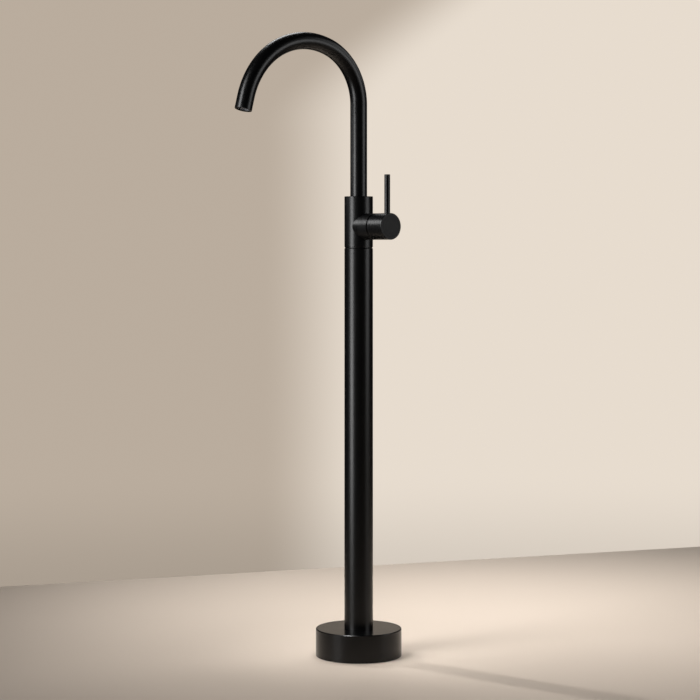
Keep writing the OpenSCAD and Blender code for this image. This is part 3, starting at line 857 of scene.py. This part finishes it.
class Stock(Enum):
    """The finishes that the pieces are given."""

    COAT = PowderCoat("powder_coat", "matt_black", BLACK, 0.31)
    COAT_BODY = PowderCoat(
        "powder_coat_body",
        "matt_black",
        BLACK,
        0.32,
        axis=HANDLE,
        depth=0.05,
        clear_of=25.2 * MM,
        end=25 * MM,
        end_dull=0.04,
    )
    COAT_KNOB = PowderCoat(
        "powder_coat_knob", "matt_black", BLACK, 0.32, axis=HANDLE, depth=0.05, end=85.2 * MM, end_dull=0.23
    )
    COAT_COVER = PowderCoat("powder_coat_cover", "matt_black", BLACK, 0.24, gloss=0.3)
    BRASS_UPRIGHT = TurnedMetal("brass_upright", "bare_brass", BRASS, 0.26, UPRIGHT)
    BRASS_HANDLE = TurnedMetal("brass_handle", "bare_brass", BRASS, 0.26, HANDLE)
    BRASS_HOSE = TurnedMetal("brass_hose", "bare_brass", BRASS, 0.28, HOSE)
    STEEL_UPRIGHT = TurnedMetal("steel_upright", "stainless_steel", STEEL, 0.3, UPRIGHT)
    STEEL_HANDLE = TurnedMetal("steel_handle", "stainless_steel", STEEL, 0.3, HANDLE)
    BRAID = WireBraid("braided_steel", "steel_braid", (0.5, 0.5, 0.52), 0.3)
    RUBBER = Rubber("black_rubber", "black_rubber", (0.03, 0.03, 0.03), 0.62)
    WHITE = Moulding("white_acetal", "white_acetal", (0.82, 0.82, 0.8), 0.4)
    GREY = Moulding("grey_acetal", "grey_acetal", (0.2, 0.2, 0.21), 0.42)
    CERAMIC = LappedCeramic("alumina", "alumina", (0.86, 0.84, 0.78), 0.16)
    FIBRE = PressedFibre("fibre", "fibre", (0.3, 0.12, 0.08), 0.8)
    FLOOR = StudioFloor("studio_floor", "", (0.605, 0.513, 0.43), 0.45)


# Sub-assemblies


class SubAssembly:
    """A group of pieces that is built together."""

    def build(self) -> None:
        """Makes the new pieces and dresses all."""
        raise NotImplementedError

    def fit(self, piece: bpy.types.Object, body: str, stock: Stock, *nodes: str) -> None:
        """Dresses a new piece, lets it ride on a body and lets it stand for CAD nodes.

        Args:
            piece: the new piece.
            body: the body that it moves with.
            stock: its finish.
            nodes: the CAD nodes that it replaces.
        """
        stock.value.dress(piece)
        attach(piece, body)
        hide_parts(*nodes)
        log.info("%s made: %d faces, %s", piece.name, len(piece.data.polygons), stock.value.name)

    def keep(self, stock: Stock, *nodes: str) -> None:
        """Keeps CAD nodes and gives them a finish.

        Args:
            stock: the finish.
            nodes: the CAD nodes that stay.
        """
        for node in nodes:
            stock.value.dress(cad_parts[node])
            log.info("%s kept: %s", node, stock.value.name)


@dataclass
class Foot(SubAssembly):
    """The floor flange with its gasket and set screws, and the cover that hides them."""

    cover_r: float = 75.0
    cover_h: float = 48.0
    cover_wall: float = 2.0
    edge: float = 1.2
    neck_r: float = 25.3
    neck_wall: float = 4.2
    neck_h: float = 8.0
    groove_r: float = 27.3
    groove_half: float = 1.2
    screw_r: float = 3.0
    screw_from: float = 25.05
    screw_len: float = 7.6
    screw_z: float = 25.1
    screw_angles: tuple[float, ...] = (90.0, 210.0, 330.0)

    def cover(self) -> Shell:
        """A deep round cap: side, top, and a neck with the groove of the rubber ring.

        Returns:
            The surface.
        """
        r, top, neck = self.cover_r, self.cover_h, self.neck_r
        inner, outer = r - self.cover_wall, neck + self.neck_wall
        under = top - self.cover_wall
        foot, mid = under - self.neck_h, under - self.neck_h / 2
        low, high = mid - self.groove_half, mid + self.groove_half
        corners = outline(
            (r, 0, 0.6),
            (r, top - self.edge, 0.3),
            (r - self.edge, top, 0.3),
            (neck, top, 0.4),
            (neck, high, 0.1),
            (self.groove_r, high, 0.2),
            (self.groove_r, low, 0.2),
            (neck, low, 0.1),
            (neck, foot, 0.3),
            (outer, foot, 0.3),
            (outer, under, 0.8),
            (inner, under, 0.8),
            (inner, 0, 0.4),
        )
        return turned(Rod(), corners, around=192, step=5)

    def screws(self) -> Shell:
        """The three set screws of the clamping hub, each with a hexagon socket and a cup point.

        Returns:
            The surface.
        """
        spines = [
            Rod((0.0, 0.0, self.screw_z), (math.cos(angle), math.sin(angle), 0.0), UP)
            for angle in map(math.radians, self.screw_angles)
        ]
        corners = set_screw(self.screw_r, self.screw_len, socket=3.0, bite=0.5, start=self.screw_from)
        return joined([turned(spine, corners, around=48, step=0.125, closed=False) for spine in spines])

    def build(self) -> None:
        """Makes the cover and the screws; the flange and the rubber stay as they are."""
        self.fit(self.cover().piece("cover_shell"), "cover", Stock.COAT_COVER, "base_cover")
        self.fit(self.screws().piece("hub_screws"), "stand", Stock.STEEL_UPRIGHT, "flange_clamp_screws")
        self.keep(Stock.STEEL_UPRIGHT, "floor_flange")
        self.keep(Stock.RUBBER, "floor_gasket", "cover_seal")


@dataclass
class Column(SubAssembly):
    """The long column tube with the threaded ring in its top."""

    r: float = 25.0
    wall: float = 2.0
    foot: float = 4.5
    top: float = 713.0
    lip: float = 1.4

    def tube(self) -> Shell:
        """A plain tube, chamfered at its top, so that a fine groove shows under the valve's body.

        Returns:
            The surface.
        """
        foot, top, inner = self.foot, self.top, self.r - self.wall
        corners = outline(
            (self.r, foot, 0.3),
            (self.r, top - self.lip, 0.4),
            (self.r - self.lip, top, 0.1),
            (inner, top, 0.2),
            (inner, foot, 0.2),
        )
        return turned(Rod(), corners, around=160, step=25)

    def build(self) -> None:
        """Makes the tube; the ring stays as it is."""
        self.fit(self.tube().piece("column_shell"), "stand", Stock.COAT, "column_tube")
        self.keep(Stock.BRASS_UPRIGHT, "column_top_insert")


@dataclass
class ValveHead(SubAssembly):
    """The body on the column with its side collar, and the spout's retaining screw."""

    screw_z: float = 791.0
    screw_tip: float = 10.8
    screw_from: float = 12.85
    screw_to: float = 24.4
    screw_r: float = 2.5
    tip_r: float = 1.7
    pitch: float = 0.8

    def retaining_screw(self) -> Shell:
        """A set screw at the back with a dog point that runs in the spout's groove.

        Returns:
            The surface.
        """
        length = self.screw_to - self.screw_from
        body = set_screw(self.screw_r, length, socket=2.5, bite=0.4, start=self.screw_from)
        dog = outline(
            (0, self.screw_tip),
            (self.tip_r, self.screw_tip, 0.2),
            (self.tip_r, self.screw_from),
        )
        spine = Rod((0.0, 0.0, self.screw_z), REAR)
        groove = thread(self.pitch)
        return turned(spine, dog + body[2:], around=48, step=0.1, closed=False, pattern=groove)

    def build(self) -> None:
        """Makes the screw; the body and the slip ring stay as they are."""
        screw = self.retaining_screw().piece("stop_screw")
        self.fit(screw, "stand", Stock.STEEL_UPRIGHT, "spout_retaining_screw")
        self.keep(Stock.COAT_BODY, "valve_body")
        self.keep(Stock.WHITE, "swivel_slip_ring")


@dataclass
class Gooseneck(SubAssembly):
    """The swivelling spout with its tail below and its aerator at the outlet."""

    r: float = 14.75
    bore: float = 13.0
    line: BentRod = BentRod(
        foot=796.05,
        leg=166.95,
        radii=(103.0, 137.0),
        swings=(math.radians(70.0), math.radians(95.5)),
        end=22.0,
    )

    def tube(self) -> Shell:
        """The bent tube, its ends lightly broken.

        Returns:
            The surface.
        """
        end = self.line.length
        corners = outline(
            (self.r, 0, 0.2),
            (self.r, end, 0.45),
            (self.bore, end, 0.3),
            (self.bore, 0, 0.2),
        )
        return turned(self.line, corners, around=128, step=3.0)

    def build(self) -> None:
        """Makes the tube; what sits in its ends stays as it is."""
        self.fit(self.tube().piece("spout_shell"), "spout", Stock.COAT, "spout_tube")
        self.keep(Stock.COAT, "outlet_insert")
        self.keep(Stock.BRASS_UPRIGHT, "spout_tail")
        self.keep(Stock.RUBBER, "spout_o_rings", "aerator_gasket")
        self.keep(Stock.GREY, "aerator_housing", "aerator_screens")


class Cartridge(SubAssembly):
    """The ceramic cartridge with its nut and the dome that closes the collar."""

    def build(self) -> None:
        """Dresses the cartridge's pieces."""
        self.keep(Stock.WHITE, "cartridge_base", "disc_carrier", "cartridge_rotor")
        self.keep(Stock.GREY, "cartridge_housing")
        self.keep(Stock.CERAMIC, "fixed_ceramic_disc", "moving_ceramic_disc")
        self.keep(Stock.RUBBER, "cartridge_port_seals", "rotor_seal")
        self.keep(Stock.STEEL_HANDLE, "pivot_pin")
        self.keep(Stock.BRASS_HANDLE, "valve_spindle", "retaining_nut")
        self.keep(Stock.COAT_KNOB, "dome_ring")


@dataclass
class Handle(SubAssembly):
    """The knob, the pin lever screwed into it, and the grub screw that holds it on the spindle."""

    r: float = 23.0
    back: float = 49.0
    front: float = 85.8
    recess: float = 63.0
    rim_r: float = 21.5
    hub_r: float = 8.0
    hub_back: float = 57.5
    chamfer: float = 0.8
    pin_y: float = 76.1
    pin_r: float = 5.0
    pin_seat: float = 770.0
    pin_top: float = 839.6
    stud_r: float = 3.0
    stud_len: float = 9.0
    stud_bite: float = 0.45
    stud_end: float = 0.5
    grub_y: float = 66.0
    grub_r: float = 2.5
    grub_len: float = 8.0
    grub_pitch: float = 0.8
    grub_cut: float = 30.0
    socket_half: float = 4.05
    socket_end: float = 69.5
    play: float = 0.05

    def knob(self) -> bpy.types.Object:
        """Turns the knob and cuts the spindle's socket, the pin's seat and the grub screw's hole.

        Returns:
            The finished piece.
        """
        corners = outline(
            (0, self.hub_back),
            (self.hub_r, self.hub_back, 0.4),
            (self.hub_r, self.recess, 0.5),
            (self.rim_r, self.recess, 1.0),
            (self.rim_r, self.back, 0.25),
            (self.r, self.back, 0.4),
            (self.r, self.front, self.chamfer),
            (0, self.front),
        )
        axle = Rod((0.0, 0.0, HANDLE_Z), FRONT)
        made = turned(axle, corners, around=192, step=1.5, closed=False).piece("knob_shell")
        carve(made, [self.socket(), self.peg_hole(), self.grub_hole()])
        return made

    def bar(self, spine: Rod, steps: list[tuple[float, float]], name: str, around: int) -> bpy.types.Object:
        """A solid of revolution from pairs of radius and station, to cut with."""
        corners = outline((0, steps[0][1]), *steps, (0, steps[-1][1]))
        return turned(spine, corners, around, step=200, closed=False).piece(name)

    def socket(self) -> bpy.types.Object:
        """The square socket for the spindle.

        Returns:
            The cutter.
        """
        slant = math.sqrt(0.5)
        spine = Rod((0.0, 0.0, HANDLE_Z), FRONT, (slant, 0.0, slant))
        half = self.socket_half / slant
        return self.bar(spine, [(half, self.back), (half, self.socket_end)], "socket_cut", around=4)

    def peg_hole(self) -> bpy.types.Object:
        """The pin's seat with the hole of its stud below.

        Returns:
            The cutter.
        """
        narrow, wide = self.stud_r + self.play, self.pin_r + self.play
        steps = [(narrow, -self.stud_len - 1), (narrow, 0), (wide, 0), (wide, 10)]
        return self.bar(Rod((0.0, -self.pin_y, self.pin_seat)), steps, "peg_cut", around=96)

    def grub_hole(self) -> bpy.types.Object:
        """The grub screw's hole from below.

        Returns:
            The cutter.
        """
        hole_r = self.grub_r + self.play
        steps = [(hole_r, 0), (hole_r, self.grub_cut)]
        return self.bar(Rod((0.0, -self.grub_y, HANDLE_Z), DOWN), steps, "grub_cut", around=64)

    def pin(self) -> Shell:
        """The pin lever with its threaded stud.

        Returns:
            The surface.
        """
        r, root, bite = self.stud_r, self.stud_r - self.stud_end, self.stud_bite
        low, high = -self.stud_len, self.pin_top - self.pin_seat
        corners = outline(
            (0, low),
            (root, low),
            (r, low + self.stud_end, 0, bite),
            (r, -0.8, 0, bite),
            (root, -0.5),
            (root, 0, 0.1),
            (self.pin_r, 0, 0.2),
            (self.pin_r, high, 0.5),
            (0, high),
        )
        return turned(Rod((0.0, -self.pin_y, self.pin_seat)), corners, step=0.5, closed=False)

    def grub_screw(self) -> Shell:
        """The grub screw, pressed on the spindle from below.

        Returns:
            The surface.
        """
        spine = Rod((0.0, -self.grub_y, HANDLE_Z - self.socket_half), DOWN)
        corners = set_screw(self.grub_r, self.grub_len, socket=2.5, bite=0.4)
        return turned(spine, corners, around=48, step=0.1, closed=False, pattern=thread(self.grub_pitch))

    def build(self) -> None:
        """Makes the knob, the pin and the screw; the rubber cap stays as it is."""
        self.fit(self.knob(), "lever", Stock.COAT_KNOB, "lever_knob")
        self.fit(self.pin().piece("pin_shell"), "lever", Stock.COAT, "lever_pin")
        self.fit(self.grub_screw().piece("grub_screw"), "lever", Stock.STEEL_UPRIGHT, "knob_grub_screw")
        self.keep(Stock.RUBBER, "grub_screw_cap")


@dataclass
class SupplyHoses(SubAssembly):
    """The two braided hoses in the column with their crimped ends, nuts and tails."""

    foot: float = 36.0
    top: float = 679.0
    r: float = 6.0
    bore: float = 4.0
    relief: float = 0.35
    strands: int = 12
    sleeve_len: float = 18.0
    sleeve_wall: float = 0.75
    play: float = 0.05
    swages: tuple[float, ...] = (3.5, 7.6, 11.7)
    swage_wall: float = 0.4
    swage_len: float = 2.8
    swage_slope: float = 0.5
    nut_foot: float = 14.0
    nut_h: float = 17.0
    nut_flats: float = 19.0
    nut_bore: float = 5.1
    nut_relief_r: float = 7.9
    nut_thread_r: float = 7.5
    nut_thread: float = 11.0
    nut_pitch: float = 1.337
    nut_seat: float = 14.5
    tail_bore: float = 2.6
    tail_neck_r: float = 3.9
    tail_thread_r: float = 4.45
    tail_hex: float = 6.0
    tail_neck: float = 3.4
    tail_thread: float = 9.6
    tail_slope: float = 0.5
    tail_bite: float = 0.45

    def rods(self, across: Place = SIDE) -> list[Rod]:
        """The axes of both hoses."""
        return [Rod((side * HOSE_X, HOSE_Y, 0.0), UP, across) for side in (-1, 1)]

    def hose(self, rod: Rod) -> Shell:
        """One hose: a braided outside and a smooth bore.

        Args:
            rod: the hose's axis.

        Returns:
            The surface.
        """
        girth = TURN * self.r
        corners = outline(
            (self.r, self.foot, 0, self.relief),
            (self.r, self.top, 0, self.relief),
            (self.bore, self.top),
            (self.bore, self.foot),
        )
        return turned(rod, corners, step=1.4, pattern=braid(self.strands, girth), girth=girth)

    def sleeves(self) -> Shell:
        """Four sleeves, each swaged in three rings.

        Returns:
            The surface.
        """
        wide, waist, inner = (self.r + wall for wall in (self.sleeve_wall, self.swage_wall, self.play))
        end, slope = self.sleeve_len, self.swage_slope
        rows = [(wide, 0.0, 0.3)]
        for start in self.swages:
            stop = start + self.swage_len
            rows += [(wide, start, 0.2), (waist, start + slope, 0.2)]
            rows += [(waist, stop - slope, 0.2), (wide, stop, 0.2)]
        rows += [(wide, end, 0.3), (inner, end, 0.1), (inner, 0.0, 0.1)]
        shells = [
            turned(rod, outline(*((r, foot + s, fillet) for r, s, fillet in rows)), around=64)
            for rod in self.rods()
            for foot in (self.foot, self.top - end)
        ]
        return joined(shells)

    def nuts(self) -> Shell:
        """Two union nuts: chamfered hexagon outside, thread and relief inside.

        Returns:
            The surface.
        """
        low, high, flats = self.nut_foot, self.nut_foot + self.nut_h, self.nut_flats
        edge, blunt = flats / 2 / HEX, flats / 2 - 0.4
        thread_end, seat = low + self.nut_thread, low + self.nut_seat
        corners = outline(
            (blunt, low, 0, 0, flats),
            (edge, low + 1.0, 0, 0, flats),
            (edge, high - 1.0, 0, 0, flats),
            (blunt, high, 0, 0, flats),
            (self.nut_bore, high, 0.3),
            (self.nut_bore, seat),
            (self.nut_relief_r, seat, 0.2),
            (self.nut_relief_r, thread_end),
            (self.nut_thread_r, thread_end - 0.3, 0, -0.6),
            (self.nut_thread_r, low + 0.7, 0, -0.6),
            (self.nut_thread_r + 0.6, low),
        )
        slant = (HEX, math.sin(TURN / 12), 0.0)
        groove = thread(self.nut_pitch)
        return joined([turned(rod, corners, step=0.25, pattern=groove) for rod in self.rods(slant)])

    def tails(self) -> Shell:
        """Two hose tails: barb, hexagon, neck for the rubber ring, and thread.

        Returns:
            The surface.
        """
        top, foot, flats = self.top, self.top - self.sleeve_len, 2 * self.r * HEX
        bore, barb, blunt, r = self.tail_bore, self.bore - self.play, flats / 2 - 0.3, self.tail_thread_r
        slope, bite = self.tail_slope, self.tail_bite
        shoulder = top + self.tail_hex
        neck = shoulder + self.tail_neck
        end = neck + self.tail_thread
        corners = outline(
            (bore, foot, 0.2),
            (barb, foot, 0.3),
            (barb, top),
            (blunt, top, 0, 0, flats),
            (self.r, top + slope, 0, 0, flats),
            (self.r, shoulder - slope, 0, 0, flats),
            (blunt, shoulder, 0, 0, flats),
            (self.tail_neck_r, shoulder, 0.1),
            (self.tail_neck_r, neck),
            (r, neck + slope, 0, bite),
            (r, end - slope, 0, bite),
            (r - slope, end),
            (bore, end, 0.2),
        )
        return joined([turned(rod, corners, step=0.25) for rod in self.rods()])

    def build(self) -> None:
        """Makes hoses, sleeves, nuts and tails; the rest stays as it is."""
        for name, rod in zip(("hot_hose", "cold_hose"), self.rods()):
            self.fit(self.hose(rod).piece(f"{name}_braid", 60), "stand", Stock.BRAID, name)
        self.fit(self.sleeves().piece("sleeves"), "stand", Stock.STEEL_UPRIGHT, "hose_crimp_sleeves")
        self.fit(self.nuts().piece("union_nuts"), "stand", Stock.BRASS_HOSE, "hose_nuts")
        self.fit(self.tails().piece("tails"), "stand", Stock.BRASS_HOSE, "hose_tails")
        self.keep(Stock.BRASS_HOSE, "hose_nipples")
        self.keep(Stock.RUBBER, "hose_tail_o_rings")
        self.keep(Stock.FIBRE, "hose_washers")


# Studio


@dataclass(frozen=True)
class Softbox:
    """A rectangular lamp that faces a point; its height side stays as upright as it can.

    Places, width and height are metres, power is watts, and spread is the degrees that the light
    fans out over, as a grid before the lamp narrows it. in_gloss says whether reflections show it.
    """

    name: str
    place: Place
    target: Place
    width: float
    height: float
    power: float
    spread: float = 180.0
    in_gloss: bool = True

    def hang(self) -> None:
        """Puts the lamp in the scene."""
        lamp = bpy.data.lights.new(self.name, "AREA")
        lamp.shape = "RECTANGLE"
        lamp.size = self.width
        lamp.size_y = self.height
        lamp.energy = self.power
        lamp.spread = math.radians(self.spread)
        hung = added(self.name, lamp)
        hung.location = self.place
        aim = Vector(self.target) - Vector(self.place)
        hung.rotation_euler = aim.to_track_quat("-Z", "Y").to_euler()
        hung.visible_camera = False
        hung.visible_glossy = self.in_gloss
        log.info("%s hung: %.2f W", self.name, self.power)


@dataclass
class Studio:
    """Floor, backdrop, lamps and camera.

    far_edge is two points of the floor's edge, as steps to the camera's right and away from it. The
    backdrop goes by directions: it stands in the window (a cosine), is lit from lit_from on, is
    shaded further right by shade_reach above shade_rise, and is darker below foot_rise.
    """

    azimuth: float = -40.0
    shift: float = -0.1467
    distance: float = 3.521
    sideways: float = -0.0152
    height: float = 0.714
    lens: float = 103.4
    sensor: float = 36.0
    far_edge: tuple[tuple[float, float], ...] = ((-0.616, 4.271), (0.585, 4.705))
    floor_half: float = 5.0
    floor_deep: float = 8.0
    window: tuple[float, float] = (0.9, 0.985)
    lit_from: tuple[float, float] = (-0.045, 0.012)
    shade_rise: tuple[float, float] = (0.06, 0.16)
    shade_reach: float = 0.09
    foot_rise: tuple[float, float] = (-0.17, -0.11)
    foot_shade: float = 0.2
    shaded: Colour = (0.49, 0.415, 0.34)
    lit: Colour = (0.80, 0.715, 0.62)
    dim: Colour = (0.012, 0.0115, 0.011)

    @property
    def back(self) -> Vector:
        """From the object towards the camera, level."""
        angle = math.radians(self.azimuth)
        return Vector((math.sin(angle), -math.cos(angle), 0.0))

    @property
    def right(self) -> Vector:
        """To the right in the picture, level."""
        angle = math.radians(self.azimuth)
        return Vector((math.cos(angle), math.sin(angle), 0.0))

    @property
    def eye(self) -> Vector:
        """The camera's place on the floor."""
        return self.back * self.distance + self.right * self.sideways

    def way(self, turn: float, reach: float, height: float) -> Place:
        """A place round the column: the turn's cosine and sine share out the reach.

        Args:
            turn: degrees from the camera's side, to the right.
            reach: metres from the column's axis.
            height: metres above the floor.

        Returns:
            The place.
        """
        angle = math.radians(turn)
        spot = self.back * (reach * math.cos(angle)) + self.right * (reach * math.sin(angle))
        return (spot.x, spot.y, height)

    def camera(self) -> None:
        """Sets the camera level, at the photograph's height, with the view shifted down to the floor."""
        lens = bpy.data.cameras.new("camera")
        lens.lens = self.lens
        lens.sensor_width = self.sensor
        lens.shift_y = self.shift
        placed = added("camera", lens)
        placed.location = (self.eye.x, self.eye.y, self.height)
        placed.rotation_euler = (math.radians(90), 0.0, math.radians(self.azimuth))
        bpy.context.scene.camera = placed

    def floor(self) -> None:
        """A pale floor whose far edge runs slantwise behind the object, as the wall's foot does."""
        ends = [self.eye + self.right * x - self.back * y for x, y in self.far_edge]
        run = (ends[1] - ends[0]).normalized()
        near = Vector((run.y, -run.x, 0.0))
        middle = (ends[0] + ends[1]) / 2
        half, deep = self.floor_half, self.floor_deep
        corners = ((-half, 0), (half, 0), (half, deep), (-half, deep))
        places = [middle + run * a + near * b for a, b in corners]
        mesh = bpy.data.meshes.new("floor")
        mesh.from_pydata([tuple(place) for place in places], [], [(3, 2, 1, 0)])
        sheet = added("floor", mesh)
        Stock.FLOOR.value.dress(sheet)

    def backdrop(self, board: Board, ray: Tap) -> Tap:
        """The wall behind the object: shaded on the left and above, lit on the right.

        Args:
            board: the world's board.
            ray: the direction that is looked in.

        Returns:
            The wall's colour.
        """
        aside = board.vector("DOT_PRODUCT", "Value", ray, tuple(self.right))
        up = board.vector("DOT_PRODUCT", "Value", ray, UP)
        lit = (aside - up.fade(*self.shade_rise) * self.shade_reach).fade(*self.lit_from)
        near_floor = 1 - up.fade(*self.foot_rise)
        return board.blend(near_floor * self.foot_shade, board.blend(lit, self.shaded, self.lit), self.dim)

    def world(self) -> None:
        """A dim studio all round, with the pale backdrop behind the object.

        The camera sees the backdrop's colour everywhere. Reflections and clear pieces see it where
        the backdrop stands, which is behind the object, and the dim studio elsewhere.
        """
        made = bpy.data.worlds.new("studio")
        made.use_nodes = True
        board = Board(made.node_tree)
        ray = board.put("ShaderNodeTexCoord", "Generated")
        stands = board.vector("DOT_PRODUCT", "Value", ray, tuple(-self.back)).fade(*self.window)
        seen = board.put("ShaderNodeLightPath", "Is Camera Ray")
        shone = board.put("ShaderNodeLightPath", "Is Glossy Ray")
        clear = board.put("ShaderNodeLightPath", "Is Transmission Ray")
        shown = seen.most(shone.most(clear) * stands)
        colour = board.blend(shown, self.dim, self.backdrop(board, ray))
        light = board.put("ShaderNodeBackground", 0, None, {"Color": colour, "Strength": 1.0})
        board.put("ShaderNodeOutputWorld", None, None, {"Surface": light})
        bpy.context.scene.world = made

    def lamps(self) -> None:
        """Strips on the left, on both levels, and on the right, small lamps for single highlights, and
        two lamps that light only the floor: a pool and the one that casts the object's shadow.
        """
        base, middle, upper, neck = ((0.0, 0.0, height) for height in (0.05, 0.565, 1.1, 0.9))
        crown, knob, outlet = (0.0, 0.0, 1.07), (-0.001, -0.08, 0.75), self.way(-50, 0.25, 1.03)
        under_pool, shadow = self.way(148, 0.55, 0.0), self.way(148, 0.4, 0.0)
        boxes = (
            Softbox("left_strip", self.way(-57.7, 1.6, 0.565), middle, 0.68, 0.97, 4.3, 90.0),
            Softbox("right_strip", self.way(75, 4.0, 1.1), upper, 2.0, 1.5, 25.0),
            Softbox("left_box", self.way(-57.7, 1.6, 1.6), outlet, 0.6, 1.1, 2.5, 60.0),
            Softbox("right_box", self.way(105, 1.6, 1.7), neck, 1.2, 0.7, 3.0),
            Softbox("knob_box", self.way(-100.5, 0.4, 0.945), knob, 0.18, 0.175, 0.04, 45.0),
            Softbox("back_box", self.way(-167, 1.54, 2.57), crown, 0.95, 0.85, 12.5),
            Softbox("rim_box", self.way(-55.7, 0.3375, 0.93), base, 0.16, 0.16, 0.15, 34.0),
            Softbox("pool", self.way(148, 0.55, 2.0), under_pool, 0.8, 0.5, 4.1, 60.0, False),
            Softbox("shadow_lamp", self.way(-130, 2.4, 2.4), shadow, 0.1, 0.1, 2.8, 40.0, False),
        )
        for box in boxes:
            box.hang()

    def build(self) -> None:
        """Sets the whole studio."""
        self.camera()
        self.floor()
        self.world()
        self.lamps()
        bpy.context.scene.view_settings.view_transform = "Standard"


def main() -> None:
    """Builds the studio and the sub-assemblies."""
    logging.basicConfig(level=logging.INFO, format="%(name)s: %(message)s")
    Studio().build()
    for kind in (Foot, Column, ValveHead, Gooseneck, Cartridge, Handle, SupplyHoses):
        log.info("%s", kind.__name__)
        kind().build()


if __name__ == "__main__":
    main()
